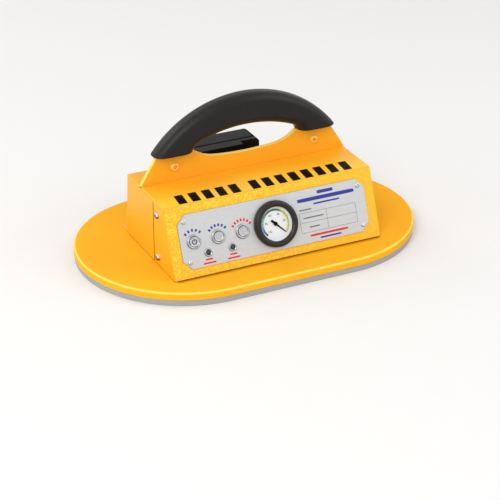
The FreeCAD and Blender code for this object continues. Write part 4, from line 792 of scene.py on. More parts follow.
INK_BLUE = Ink("ink_blue", paint(52, 60, 150))
INK_RED = Ink("ink_red", paint(214, 50, 48))
INK_GREY = Ink("ink_grey", paint(120, 122, 132))
GAUGE_GLASS = Glass("gauge_glass", paint(40, 44, 48))
LAMP_LENS = DarkLens("lamp_lens", paint(22, 30, 34))
BRONZE = Sintered("sintered_bronze", paint(150, 110, 62))
BOARD_GREEN = CircuitBoard("board_green", paint(24, 84, 44))


class Part(Enum):
    """What an operator acts on."""

    CORNERS = "VERT"
    EDGES = "EDGE"
    FACES = "FACE"


def softened(points: Sequence[Corner], steps: int = 4) -> list[Span]:
    """Return an open outline with rounded corners.

    Args:
        points: across, up and the rounding at each point. The two end points stay sharp.
        steps: how many short lines make each rounding.

    Returns:
        The outline's points.
    """
    outline = [points[0][:2]]
    for before, corner, after in zip(points, points[1:], points[2:]):
        middle = Vector(corner[:2])
        start = middle + (Vector(before[:2]) - middle).normalized() * corner[2]
        end = middle + (Vector(after[:2]) - middle).normalized() * corner[2]
        for step in range(steps + 1 if corner[2] else 1):
            share = step / steps
            place = start.lerp(middle, share).lerp(middle.lerp(end, share), share)
            outline.append((place.x, place.y))
    return outline + [points[-1][:2]]


class Bench:
    """One new mesh, begun as a primitive and shaped with edit-mode operators.

    A call that shapes the mesh returns the bench, so that calls can follow one another.
    """

    SHARP = 30.0
    FLAT = 0.5
    STEPS = 2

    def __init__(self, name: str) -> None:
        """Clear the selection, so that the operators act on the new mesh alone.

        Args:
            name: the piece's name.
        """
        self.name = name
        self.piece: bpy.types.Object | None = None
        self.close()
        bpy.ops.object.select_all(action="DESELECT")

    def label(self) -> None:
        """Name the active object and its mesh after the piece."""
        self.piece = bpy.context.object
        self.piece.name = self.piece.data.name = self.name

    def begin(self) -> "Bench":
        """Name the new primitive, apply its place and open it for editing by corners.

        Returns:
            This bench.
        """
        self.label()
        bpy.ops.object.transform_apply(location=True, rotation=True, scale=True)
        bpy.ops.object.mode_set(mode="EDIT")
        bpy.ops.mesh.select_mode(type=Part.CORNERS.value)
        return self

    def circle(self, radius: float, corners: int, height: float = 0.0, filled: bool = False,
               turn: float = 0.0) -> "Bench":
        """Begin with a ring, or a disc if it is filled, about the Z axis."""
        bpy.ops.mesh.primitive_circle_add(
            vertices=corners, radius=radius, fill_type="NGON" if filled else "NOTHING",
            location=(0.0, 0.0, height), rotation=(0.0, 0.0, turn))
        return self.begin()

    def block(self, low: Corner, high: Corner) -> "Bench":
        """Begin with a block between its lowest and its highest corner."""
        first, last = Vector(low), Vector(high)
        bpy.ops.mesh.primitive_cube_add(size=1.0, location=(first + last) / 2, scale=last - first)
        return self.begin()

    def slab(self, width: float, height: float, middle: Span = (0.0, 0.0)) -> "Bench":
        """Begin with a flat rectangle at height zero.

        Args:
            width: its size along X.
            height: its size along Y.
            middle: X and Y of its middle.

        Returns:
            This bench.
        """
        bpy.ops.mesh.primitive_plane_add(size=1.0, location=(*middle, 0.0))
        bpy.context.object.scale = (width, height, 1.0)
        return self.begin()

    def point(self, place: Sequence[float]) -> "Bench":
        """Begin with a single corner, merged from a small rectangle.

        Args:
            place: where the corner lies.

        Returns:
            This bench.
        """
        bpy.ops.mesh.primitive_plane_add(size=MM)
        self.begin()
        bpy.ops.mesh.merge(type="CENTER")
        return self.move(place)

    def merged(self, node: str) -> "Bench":
        """Begin with a copy of a CAD node's mesh, its doubles merged and its flat faces made whole.

        Args:
            node: the CAD node's name.

        Returns:
            This bench.
        """
        self.piece = bpy.data.objects.new(self.name, frame["nodes"][node].data.copy())
        bpy.context.collection.objects.link(self.piece)
        self.choose()
        self.begin().all()
        bpy.ops.mesh.remove_doubles(threshold=TOUCH)
        self.all()
        bpy.ops.mesh.dissolve_limited(angle_limit=math.radians(self.FLAT))
        return self

    def pick(self, part: Part, test: Test, fits: Callable[[Element], bool] = lambda item: True) -> "Bench":
        """Select by place and direction.

        Args:
            part: corners, edges or faces.
            test: says from the middle and the normal, or an edge's direction, whether to select.
            fits: says from the element itself whether it can be selected.

        Returns:
            This bench.
        """
        bpy.ops.mesh.select_mode(type=part.value)
        bpy.ops.mesh.select_all(action="DESELECT")
        mesh = bmesh.from_edit_mesh(self.piece.data)
        mesh.normal_update()
        for item in getattr(mesh, part.value.lower() + "s"):
            if fits(item) and test(*self.measure(item)):
                item.select_set(True)
        mesh.select_flush_mode()
        bmesh.update_edit_mesh(self.piece.data)
        return self

    @staticmethod
    def measure(item: Element) -> tuple[Vector, Vector]:
        """Measure an element.

        Args:
            item: a corner, an edge or a face.

        Returns:
            Its middle, and its normal or an edge's direction.
        """
        if isinstance(item, bmesh.types.BMVert):
            return item.co, item.normal
        if isinstance(item, bmesh.types.BMFace):
            return item.calc_center_median(), item.normal
        start, end = (corner.co for corner in item.verts)
        return (start + end) / 2, (end - start).normalized()

    def pick_sharp(self, test: Test, angle: float = SHARP, least: float = 0.0) -> "Bench":
        """Select edges by a test, if they turn by more than the angle and are longer than the least."""
        turn = math.radians(angle)
        return self.pick(Part.EDGES, test, lambda edge: (edge.calc_face_angle(0.0) > turn
                                                         and edge.calc_length() > least))

    def rounded(self, width: float, test: Test = lambda place, along: True, steps: int = STEPS,
                least: float = 0.0) -> "Bench":
        """Round the sharp edges that pass a test and are longer than the least."""
        return self.pick_sharp(test, least=least).bevel(width, steps)

    def all(self) -> "Bench":
        """Select everything."""
        bpy.ops.mesh.select_all(action="SELECT")
        return self

    def extrude(self, shift: Sequence[float]) -> "Bench":
        """Draw the selection out."""
        bpy.ops.mesh.extrude_region_move(TRANSFORM_OT_translate={"value": Vector(shift)})
        return self

    def raised(self, height: float) -> "Bench":
        """Draw everything up along Z and close it."""
        return self.all().extrude((0.0, 0.0, height)).tidy()

    def move(self, shift: Sequence[float]) -> "Bench":
        """Move the selection."""
        bpy.ops.transform.translate(value=Vector(shift))
        return self

    def resize(self, scale: Corner, centre: Corner = (0.0, 0.0, 0.0)) -> "Bench":
        """Resize the selection about a centre."""
        bpy.ops.transform.resize(value=Vector(scale), center_override=Vector(centre))
        return self

    def inset(self, width: float) -> "Bench":
        """Inset the selected faces."""
        bpy.ops.mesh.inset(thickness=width, depth=0.0, use_even_offset=True, use_boundary=True)
        return self

    def bevel(self, width: float, steps: int = STEPS, corners: bool = False) -> "Bench":
        """Round the selected edges or corners."""
        bpy.ops.mesh.bevel(offset=width, segments=steps, affect="VERTICES" if corners else "EDGES",
                           clamp_overlap=True)
        return self

    def spin(self, centre: Sequence[float], angle: float, steps: int) -> "Bench":
        """Draw the selection round an axis along Y. The operator itself turns the other way."""
        bpy.ops.mesh.spin(steps=steps, angle=-angle, center=Vector(centre), axis=(0.0, 1.0, 0.0))
        return self

    def bridge(self) -> "Bench":
        """Span the two selected edge chains with faces."""
        bpy.ops.mesh.bridge_edge_loops()
        return self

    def delete(self, part: Part) -> "Bench":
        """Delete the selection."""
        bpy.ops.mesh.delete(type=part.value)
        return self

    def tidy(self, close: bool = False) -> "Bench":
        """Merge doubles and turn all faces outwards.

        Args:
            close: whether open ends are filled.

        Returns:
            This bench.
        """
        self.all()
        bpy.ops.mesh.remove_doubles(threshold=TOUCH)
        if close:
            self.all()
            bpy.ops.mesh.fill_holes(sides=0)
        self.all()
        bpy.ops.mesh.normals_make_consistent(inside=False)
        return self

    def lathe(self, profile: Sequence[Span], corners: int) -> "Bench":
        """Turn a profile about Z by extruding and resizing a ring, and close what stays open.

        Args:
            profile: radius and height of each ring, from the first to the last.
            corners: how many sides the rings have.

        Returns:
            This bench.
        """
        radius, height = profile[0]
        self.circle(radius, corners, height)
        for next_radius, next_height in profile[1:]:
            self.extrude((0.0, 0.0, next_height - height))
            share = next_radius / radius
            self.resize((share, share, 1.0), (0.0, 0.0, next_height))
            radius, height = next_radius, next_height
        return self.tidy(close=True)

    @staticmethod
    def close() -> None:
        """Leave edit mode."""
        if bpy.context.mode != "OBJECT":
            bpy.ops.object.mode_set(mode="OBJECT")

    def choose(self) -> None:
        """Select this piece alone."""
        bpy.ops.object.select_all(action="DESELECT")
        bpy.context.view_layer.objects.active = self.piece
        self.piece.select_set(True)

    def finish_modifier(self, modifier: bpy.types.Modifier) -> None:
        """Apply a modifier to this piece."""
        self.choose()
        bpy.ops.object.modifier_apply(modifier=modifier.name)

    def join(self, other: "Bench") -> "Bench":
        """Take another mesh into this one and open it for editing.

        Args:
            other: the bench with the other mesh, which is used up.

        Returns:
            This bench.
        """
        self.close()
        self.choose()
        other.piece.select_set(True)
        bpy.ops.object.join()
        bpy.ops.object.mode_set(mode="EDIT")
        return self.all()

    def carve(self, cutters: Sequence["Bench"]) -> "Bench":
        """Cut other meshes out of this one and throw them away.

        Args:
            cutters: the benches with those meshes.

        Returns:
            This bench.
        """
        self.close()
        for cutter in cutters:
            modifier = self.piece.modifiers.new("carve", "BOOLEAN")
            modifier.operation = "DIFFERENCE"
            modifier.solver = "EXACT"
            modifier.object = cutter.piece
            self.finish_modifier(modifier)
            bpy.data.objects.remove(cutter.piece)
        return self

    def set_at(self, place: Matrix) -> "Bench":
        """Put the finished mesh in its place and apply that place to the mesh.

        Args:
            place: the placement.

        Returns:
            This bench.
        """
        self.close()
        self.choose()
        self.piece.matrix_world = place
        bpy.ops.object.transform_apply(location=True, rotation=True, scale=True)
        return self

    def copies(self, places: Sequence[Matrix]) -> "Bench":
        """Put a copy at each place, each with its own mesh, and join them into one piece.

        Args:
            places: the placement of each copy.

        Returns:
            This bench.
        """
        self.close()
        bpy.ops.object.select_all(action="DESELECT")
        twins = []
        for place in places:
            twin = self.piece.copy()
            twin.data = self.piece.data.copy()
            twin.matrix_world = place
            bpy.context.collection.objects.link(twin)
            twin.select_set(True)
            twins.append(twin)
        bpy.context.view_layer.objects.active = twins[0]
        bpy.data.objects.remove(self.piece)
        bpy.ops.object.transform_apply(location=True, rotation=True, scale=True)
        bpy.ops.object.join()
        self.label()
        return self

    def hand_over(self, finish: Finish, slot: str, nodes: Sequence[str] = (), body: str = ROOT_BODY,
                  angle: float = 32.0) -> None:
        """Shade the piece, give it its finish and let it ride on its body.

        Args:
            finish: the surface finish.
            slot: the record's material slot; not used.
            nodes: the CAD nodes that the piece stands for.
            body: the body that it moves with.
            angle: the sharpest turn, in degrees, that still looks smooth.
        """
        self.close()
        self.choose()
        bpy.ops.object.shade_smooth_by_angle(angle=math.radians(angle))
        modifier = self.piece.modifiers.new("even_shading", "WEIGHTED_NORMAL")
        modifier.keep_sharp = True
        self.finish_modifier(modifier)
        self.piece.data.materials.clear()
        self.piece.data.materials.append(finish.material())
        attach(self.piece, body)
        if nodes:
            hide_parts(*nodes)
        LOG.info("%s: %d faces, rides on %s", self.name, len(self.piece.data.polygons), body)


@dataclass(frozen=True)
class Slope:
    """The sloped front's own axes: u to the right, v up the slope from the gauge, lift out of the sheet."""

    origin: Vector
    out: Vector
    right: Vector = Vector((1.0, 0.0, 0.0))

    @classmethod
    def from_frame(cls) -> "Slope":
        """Find the slope through the gauge's axis, at the underside of the panel plate.

        Returns:
            The slope.
        """
        sweep = next(joint for joint in frame["joints"] if joint["name"] == "gauge_sweep")
        axis = Vector(sweep["axis"]).normalized()
        out = axis if axis.y < 0.0 else -axis
        pivot = Vector(sweep["pos_m"])
        base = min(corner.co.dot(out) for corner in frame["nodes"]["panel_plate"].data.vertices)
        return cls(pivot + out * (base - pivot.dot(out)), out)

    @property
    def up(self) -> Vector:
        """Return the direction up the slope."""
        return self.out.cross(self.right)

    def at(self, u: float = 0.0, v: float = 0.0, lift: float = 0.0, turn: float = 0.0) -> Matrix:
        """Find a placement on the slope.

        Args:
            u: how far right of the gauge's axis.
            v: how far up the slope from it.
            lift: how far out of the sheet.
            turn: the turn about the slope's normal, anticlockwise.

        Returns:
            The placement, with X to the right and Z out of the slope.
        """
        axes = Matrix((self.right, self.up, self.out)).transposed().to_4x4()
        point = self.origin + self.right * u + self.up * v + self.out * lift
        return Matrix.Translation(point) @ axes @ Matrix.Rotation(turn, 4, "Z")

    def span(self, node: str) -> tuple[float, float, float, float]:
        """Measure a CAD node along the slope.

        Args:
            node: the CAD node's name.

        Returns:
            Its least and greatest u, and its least and greatest v.
        """
        away = [corner.co - self.origin for corner in frame["nodes"][node].data.vertices]
        across = [point.x for point in away]
        upward = [point.dot(self.up) for point in away]
        return min(across), max(across), min(upward), max(upward)

    def find(self, node: str) -> Span:
        """Return u and v of the middle of a CAD node."""
        left, right, low, high = self.span(node)
        return (left + right) / 2, (low + high) / 2

    def radius(self, node: str) -> float:
        """Return the radius of a round CAD node."""
        left, right, _low, _high = self.span(node)
        return (right - left) / 2


SLOPE = Slope.from_frame()


def facing(point: Sequence[float], out: Sequence[float]) -> Matrix:
    """Return the placement at a point whose Z axis looks out along a direction."""
    return Matrix.Translation(Vector(point)) @ Vector(out).to_track_quat("Z", "Y").to_matrix().to_4x4()


@dataclass
class SuctionPlate:
    """The oblong base plate with its rounded rim, and the grey seal below it."""

    rim: float = 3.5 * MM
    rim_steps: int = 6
    lower_edge: float = 0.8 * MM
    seal_width: float = 28.0 * MM
    lip_width: float = 9.5 * MM
    channel_depth: float = 3.0 * MM
    seal_edge: float = 0.9 * MM
    seal_steps: int = 3
    filter_gap: float = 0.05 * MM
    filter_corners: int = 96
    corners: int = 192

    def oblong(self, name: str, node: str) -> Bench:
        """Begin a piece with the round-ended outline of a CAD node, at its lowest height.

        Args:
            name: the new piece's name.
            node: the CAD node whose box gives length, width and height.

        Returns:
            The bench with the filled outline.
        """
        low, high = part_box(node)
        radius = (high.y - low.y) / 2
        shift = (high.x - low.x) / 2 - radius
        bench = Bench(name).circle(radius, self.corners, low.z, filled=True, turn=math.pi / self.corners)
        for side in SIDES:
            bench.pick(Part.CORNERS, lambda place, normal: place.x * side > 0)
            bench.move((side * shift, 0.0, 0.0))
        return bench.all()

    def build_plate(self) -> None:
        """Build the plate: extruded outline, rounded rim and the filter's recess."""
        low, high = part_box("base_plate")
        bench = self.oblong("suction_plate", "base_plate").raised(high.z - low.z)
        bench.pick(Part.EDGES, lambda place, along: place.z > high.z - self.lower_edge)
        bench.bevel(self.rim, self.rim_steps)
        bench.pick(Part.EDGES, lambda place, along: place.z < low.z + TOUCH)
        bench.bevel(self.lower_edge)
        disc_low, disc_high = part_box("suction_filter")
        middle = (disc_low + disc_high) / 2
        radius = (disc_high.x - disc_low.x) / 2 + self.filter_gap
        recess = Bench("filter_recess").circle(radius, self.filter_corners, filled=True)
        recess.raised(2 * (disc_high.z - disc_low.z))
        recess.set_at(Matrix.Translation((middle.x, middle.y, 2 * disc_low.z - disc_high.z)))
        bench.carve([recess]).hand_over(PLATE_COAT, "plate_paint", ["base_plate"])

    def build_seal(self) -> None:
        """Build the seal: an inset band, drawn up to the plate, with a channel between its two lips."""
        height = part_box("base_plate")[0].z
        bench = self.oblong("seal_band", "seal_ring").inset(self.seal_width).delete(Part.FACES)
        bench.raised(height).pick(Part.FACES, lambda place, normal: normal.z < -ALONG)
        bench.inset(self.lip_width).extrude((0.0, 0.0, self.channel_depth)).tidy()
        bench.rounded(self.seal_edge, lambda place, along: place.z < self.seal_edge, self.seal_steps)
        bench.hand_over(GREY_SEAL, "seal_rubber", ["seal_ring"])

    def build(self) -> None:
        """Build the plate and its seal."""
        self.build_plate()
        self.build_seal()


@dataclass
class Handle:
    """The moulded grip over the bracket's arch, and the bracket below it."""

    arch_radius: float = 154.0 * MM
    under_radius: float = 170.0 * MM
    heel_radius: float = 14.0 * MM
    heel_reach: float = 72.0 * MM
    crown_depth: float = 40.5 * MM
    corner: float = 12.6 * MM
    corner_steps: int = 8
    foot_edge: float = 5.0 * MM
    foot_steps: int = 6
    sheet_edge: float = 0.9 * MM
    sheet_steps: int = 3
    sheet_least: float = 2.5 * MM
    crown_steps: int = 40
    heel_steps: int = 12
    smooth: float = 40.0

    def build_over(self) -> Bench:
        """Draw the arc over the grip, from foot to foot.

        Returns:
            The bench with the arc.
        """
        low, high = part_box("handle_grip")
        centre = high.z - self.arch_radius
        reach = math.acos((low.z - centre) / self.arch_radius)
        bench = Bench("moulded_grip").point((-self.arch_radius * math.sin(reach), low.y, low.z))
        return bench.spin((0.0, low.y, centre), 2 * reach, self.crown_steps + 2 * self.heel_steps)

    def build_under(self) -> Bench:
        """Draw the chain of three arcs under the grip, from heel to heel.

        Returns:
            The bench with the chain.
        """
        low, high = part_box("handle_grip")
        centre = high.z - self.crown_depth - self.under_radius
        reach = self.under_radius - self.heel_radius
        bend = math.asin((self.heel_reach - self.heel_radius) / reach)
        across = reach * math.sin(bend)
        rise = centre + reach * math.cos(bend)
        stop = math.acos((low.z - rise) / self.heel_radius)
        bench = Bench("grip_underside").point((-across - self.heel_radius * math.sin(stop), low.y, low.z))
        bench.spin((-across, low.y, rise), stop - bend, self.heel_steps)
        bench.spin((0.0, low.y, centre), 2 * bend, self.crown_steps)
        return bench.spin((across, low.y, rise), stop - bend, self.heel_steps)

    def build_grip(self) -> None:
        """Build the grip: two chains of arcs, bridged, thickened and rounded along their edges."""
        low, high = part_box("handle_grip")
        bench = self.build_over().join(self.build_under()).bridge()
        bench.all().extrude((0.0, high.y - low.y, 0.0)).tidy()
        bench.pick_sharp(lambda place, along: place.z > low.z + TOUCH, self.smooth)
        bench.bevel(self.corner, self.corner_steps)
        bench.rounded(self.foot_edge, lambda place, along: place.z < low.z + TOUCH, self.foot_steps)
        bench.hand_over(CHARCOAL_GRIP, "grip_plastic", ["handle_grip"], angle=self.smooth)

    def build(self) -> None:
        """Build the grip, and the bracket with its edges rounded."""
        self.build_grip()
        bracket = Bench("lifting_bracket").merged("handle_bracket")
        bracket.rounded(self.sheet_edge, steps=self.sheet_steps, least=self.sheet_least)
        bracket.hand_over(BRACKET_COAT, "yellow_paint", ["handle_bracket"])


class Drive(Enum):
    """The recess in a screw's head."""

    CROSS = "cross"
    SOCKET = "socket"


@dataclass(frozen=True)
class Screw:
    """A pan-headed screw, seated at height zero and looking up. Shares are of its radius or its height."""

    radius: float
    height: float
    stem: float
    drive: Drive = Drive.CROSS
    corners: int = 40
    steps: int = 6
    stem_share: float = 0.57
    crown_share: float = 0.2
    round_share: float = 0.75
    cross_reach: float = 0.58
    cross_width: float = 0.13
    cross_floor: float = 0.45
    socket_share: float = 0.54
    socket_floor: float = 0.1
    cut_top: float = 1.5

    def recess(self) -> list[Bench]:
        """Make the cutters of the drive recess.

        Returns:
            The benches to carve with.
        """
        top = self.height * self.cut_top
        if self.drive is Drive.SOCKET:
            floor = self.height * self.socket_floor
            cutter = Bench("socket_cut").circle(self.radius * self.socket_share, HEXAGON, floor, filled=True)
            return [cutter.raised(top - floor)]
        floor = self.height * self.cross_floor
        arm, thin = self.radius * self.cross_reach, self.radius * self.cross_width
        return [Bench("cross_cut").block((-wide, -deep, floor), (wide, deep, top))
                for wide, deep in ((arm, thin), (thin, arm))]

    def build(self, name: str) -> Bench:
        """Turn the head and the stem, and cut the recess.

        Args:
            name: the piece's name.

        Returns:
            The bench, closed.
        """
        wide, tall = self.radius, self.height
        thin = wide * self.stem_share
        outline = [(thin, -self.stem, 0.0), (thin, 0.0, 0.0), (wide, 0.0, 0.0),
                   (wide, tall, tall * self.round_share), (wide * self.crown_share, tall, 0.0)]
        return Bench(name).lathe(softened(outline, self.steps), self.corners).carve(self.recess())


@dataclass
class Housing:
    """The folded sheet housing, its screws, the dark strips that stand for the shadow lines at its foot and
    seams, and the bars printed along its top.
    """

    bend: float = 1.8 * MM
    bend_steps: int = 4
    rear_bend: float = 0.7 * MM
    cut_edge: float = 0.3 * MM
    edge_least: float = 8.0 * MM
    face_gap: float = 0.1 * MM
    sheet_screw: Screw = Screw(4.25 * MM, 3.0 * MM, 5.0 * MM)
    side_turn: Span = (0.5, 9.0)
    flange_turn: float = 40.0
    flange_rows: tuple[float, ...] = mm(-125.0, -75.0, 75.0, 125.0)
    tie_bolt: Screw = Screw(5.25 * MM, 3.3 * MM, 13.5 * MM, Drive.SOCKET)
    nut_chamfer: float = 0.7 * MM
    seam_gap: float = 0.5 * MM
    seam_lip: float = 1.6 * MM
    seam_sink: float = 0.35 * MM
    seam_rise: float = 0.12 * MM
    seam_round: float = 0.8
    gasket_width: float = 1.4 * MM
    gasket_round: float = 0.15
    foot_gap: float = 0.95 * MM
    bar_depth: float = 24.0 * MM
    bar_width: float = 11.0 * MM
    bar_slant: float = 2.5 * MM
    bar_setback: float = 2.6 * MM
    bar_pitch: float = 17.8 * MM
    bar_thickness: float = 0.06 * MM
    bar_round: float = 0.08
    bar_steps: int = 3
    bar_groups: tuple[tuple[float, int], ...] = ((-111.5 * MM, 5), (-13.5 * MM, 8))

    def front_folds(self) -> Test:
        """Make the test that finds the outer folds of the front cover, where two of its faces meet.

        Returns:
            The test of an edge.
        """
        wall, _depth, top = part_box("front_cover")[1] - Vector((self.face_gap,) * 3)
        face = SLOPE.origin.dot(SLOPE.out) - self.face_gap

        def is_fold(place: Vector, along: Vector) -> bool:
            """Say whether an edge lies on two of the side, the top and the slope."""
            return (abs(place.x) > wall) + (place.z > top) + (place.dot(SLOPE.out) > face) > 1

        return is_fold

    def build_covers(self) -> None:
        """Build the two covers with their bends rounded."""
        front = Bench("front_cover_sheet").merged("front_cover")
        front.rounded(self.bend, self.front_folds(), self.bend_steps)
        front.rounded(self.cut_edge, least=self.edge_least)
        front.hand_over(YELLOW_COAT, "yellow_paint", ["front_cover"])
        rear = Bench("rear_cover_sheet").merged("rear_cover")
        rear.rounded(self.rear_bend, least=self.edge_least)
        rear.hand_over(YELLOW_COAT, "yellow_paint", ["rear_cover"])

    def build_side_screws(self) -> None:
        """Build the two screws in each side, each turned a little further than the one below it."""
        low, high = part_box("cover_screws")
        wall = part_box("front_cover")[1].x
        start, rate = self.side_turn
        places = []
        for side in SIDES:
            for height in (low.z + self.sheet_screw.radius, high.z - self.sheet_screw.radius):
                place = facing((side * wall, (low.y + high.y) / 2, height), (side, 0.0, 0.0))
                places.append(place @ Matrix.Rotation(start + height * rate, 4, "Z"))
        bench = self.sheet_screw.build("side_screws").copies(places)
        bench.hand_over(ZINC, "zinc_steel", ["cover_screws"])

    def build_tie_bolts(self) -> None:
        """Build the painted bolts through the bracket and the nuts behind it."""
        low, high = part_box("tie_bolts")
        height = (low.z + high.z) / 2
        face = low.y + self.tie_bolt.height
        across = high.x - self.tie_bolt.radius
        places = [facing((side * across, face, height), (0.0, -1.0, 0.0)) for side in SIDES]
        bolts = self.tie_bolt.build("painted_tie_bolts").copies(places)
        bolts.hand_over(BOLT_COAT, "yellow_paint", ["tie_bolts"])
        nut_low, nut_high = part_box("tie_nuts")
        nuts = Bench("tie_bolt_nuts").circle(nut_high.x - across, HEXAGON, filled=True)
        nuts.raised(nut_high.y - nut_low.y)
        nuts.rounded(self.nut_chamfer, lambda place, along: abs(along.z) < ALONG)
        places = [facing((side * across, nut_low.y, height), (0.0, 1.0, 0.0)) for side in SIDES]
        nuts.copies(places).hand_over(ZINC, "zinc_steel", ["tie_nuts"])

    def build_flange_screws(self) -> None:
        """Build the screws that hold the rear flange to the plate, each turned its own way."""
        low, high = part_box("flange_screws")
        depth, seat = (low.y + high.y) / 2, high.z - self.sheet_screw.height
        places = []
        for across in self.flange_rows:
            place = facing((across, depth, seat), (0.0, 0.0, 1.0))
            places.append(place @ Matrix.Rotation(across * self.flange_turn, 4, "Z"))
        bench = self.sheet_screw.build("rear_flange_screws").copies(places)
        bench.hand_over(ZINC, "zinc_steel", ["flange_screws"])

    def front_edge(self) -> float:
        """Return the depth of the fold between the sloped front and the top."""
        share = (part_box("front_cover")[1].z - SLOPE.origin.z) / SLOPE.up.z
        return SLOPE.origin.y + SLOPE.up.y * share

    def build_foot_gasket(self) -> None:
        """Build the dark strip under the covers' feet, a painted shadow line: an inset ring, opened at the
        rear and thickened.
        """
        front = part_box("front_cover")[0].y + self.foot_gap
        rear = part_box("battery_dock")[0].y - self.gasket_width
        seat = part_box("base_plate")[1].z
        width = 2 * (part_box("rear_cover")[1].x - self.seam_sink)
        bench = Bench("foot_gasket").slab(width, rear - front, (0.0, (front + rear) / 2))
        bench.all().inset(self.gasket_width).delete(Part.FACES)
        bench.pick(Part.FACES, lambda place, normal: place.y > rear - self.gasket_width)
        bench.delete(Part.FACES).raised(self.foot_gap)
        softness = self.foot_gap * self.gasket_round
        bench.rounded(softness, lambda place, along: place.z > self.foot_gap / 2)
        bench.set_at(Matrix.Translation((0.0, 0.0, seat))).hand_over(SHADOW_STRIP_BROWN, "hose_rubber")

    def build_seam_gaskets(self) -> None:
        """Build the two dark strips that fill and lap the upright seams between the covers, as painted shadow
        lines.
        """
        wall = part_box("rear_cover")[1].x
        corners = frame["nodes"]["rear_cover"].data.vertices
        rear_edge = min(corner.co.y for corner in corners if corner.co.x > wall - self.seam_sink)
        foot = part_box("front_cover")[0].z
        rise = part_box("front_cover")[1].z - foot - 2 * self.bend
        bench = Bench("seam_gaskets").slab(self.seam_gap, rise, (0.0, rise / 2))
        bench.all().extrude((0.0, 0.0, self.gasket_width)).resize((self.seam_lip / self.seam_gap, 1.0, 1.0))
        bench.extrude((0.0, 0.0, self.seam_rise)).tidy()
        middle = self.gasket_width + self.seam_rise / 2
        softness = self.seam_rise * self.seam_round
        bench.rounded(softness, lambda place, along: place.z > middle)
        places = []
        for side in SIDES:
            axes = Matrix(((0.0, side, 0.0), (0.0, 0.0, 1.0), (side, 0.0, 0.0))).transposed().to_4x4()
            start = (side * (wall - self.gasket_width), rear_edge - self.seam_gap / 2, foot)
            places.append(Matrix.Translation(start) @ axes)
        bench.copies(places).hand_over(SHADOW_STRIP_BROWN, "hose_rubber")

    def build_bars(self) -> None:
        """Print two groups of slanted bars along the top, just behind its front edge."""
        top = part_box("front_cover")[1].z
        depth = self.front_edge() + self.bar_setback + self.bar_depth / 2
        bench = Bench("top_bars").slab(self.bar_width, self.bar_depth)
        bench.pick(Part.EDGES, lambda place, along: place.y > self.bar_depth / 2 - TOUCH)
        bench.move((self.bar_slant, 0.0, 0.0)).raised(self.bar_thickness)
        bench.pick(Part.EDGES, lambda place, along: abs(along.z) > ALONG)
        bench.bevel(self.bar_width * self.bar_round, self.bar_steps)
        places = []
        for start, count in self.bar_groups:
            for number in range(count):
                places.append(Matrix.Translation((start + number * self.bar_pitch, depth, top)))
        bench.copies(places).hand_over(INK_BLACK, "yellow_paint")

    def build(self) -> None:
        """Build the covers, screws, painted shadow strips and print."""
        self.build_covers()
        self.build_side_screws()
        self.build_tie_bolts()
        self.build_flange_screws()
        self.build_foot_gasket()
        self.build_seam_gaskets()
        self.build_bars()


PANEL_SHEET = 1.2 * MM
Row = tuple[float, float, float, float]


@dataclass(frozen=True)
class Mark:
    """A plain printed block on the panel: its middle, its size and its turn."""

    u: float
    v: float
    width: float
    height: float
    turn: float = 0.0

    def place(self) -> Matrix:
        """Return the placement on the panel's face that gives a unit square this mark's size."""
        spot = SLOPE.at(self.u, self.v, PANEL_SHEET, self.turn)
        return spot @ Matrix.Diagonal((self.width, self.height, 1.0, 1.0))


def marks(rows: Sequence[Row]) -> list[Mark]:
    """Return marks from u, v, width and height in millimetres."""
    return [Mark(*mm(*row)) for row in rows]


@dataclass(frozen=True)
class Turning:
    """A turned shape: the radius, height and rounding of each bend of its outline, in millimetres."""

    bends: tuple[Corner, ...]
    corners: int
    steps: int = 4

    def make(self, name: str) -> Bench:
        """Return a bench with the shape."""
        return Bench(name).lathe(softened([mm(*bend) for bend in self.bends], self.steps), self.corners)


@dataclass(frozen=True)
class PushButton:
    """A push button: a turned ring round a bore, and the dished cap that moves in it.

    Blocks stand for words in an arc over it, whose half angle in degrees is the words' reach.
    """

    name: str
    words: int
    word_reach: float
    word_radius: float = 14.0 * MM
    word_size: Span = mm(2.4, 3.4)
    ring: Turning = Turning(((6.6, -9.0, 0.0), (6.6, 2.9, 0.2), (7.3, 3.2, 0.2), (8.5, 3.2, 0.6),
                             (9.0, 1.6, 0.3), (9.0, 1.2, 0.0), (8.0, 1.2, 0.0), (8.0, -9.0, 0.0),
                             (6.6, -9.0, 0.0)), 72)
    cap: Turning = Turning(((6.0, -9.0, 0.0), (6.0, 3.4, 0.15), (5.5, 3.6, 0.15), (5.1, 3.6, 0.1),
                            (4.7, 3.35, 0.1), (0.4, 3.3, 0.0)), 72, 3)
    hole: float = 8.0 * MM
    dish: float = 3.3 * MM

    @property
    def body(self) -> str:
        """Return the CAD node of the ring."""
        return self.name + "_button_body"

    def build(self) -> None:
        """Build the ring and the cap."""
        title = self.name + "_button"
        place = SLOPE.at(*SLOPE.find(self.body))
        ring = self.ring.make(title + "_ring").set_at(place)
        ring.hand_over(CHROME, "button_chrome", [self.body])
        cap = self.cap.make(title + "_dish").set_at(place)
        cap.hand_over(TURNED_SILVER, "button_silver", [title + "_cap"], body=title)

    def blocks(self) -> list[Mark]:
        """Lay out the blocks over the button.

        Returns:
            The blocks, from left to right.
        """
        u, v = SLOPE.find(self.body)
        blocks = []
        for number in range(self.words):
            turn = math.radians(self.word_reach * (1 - 2 * number / (self.words - 1)))
            beside, above = self.word_radius * math.sin(turn), self.word_radius * math.cos(turn)
            blocks.append(Mark(u - beside, v + above, *self.word_size, turn))
        return blocks


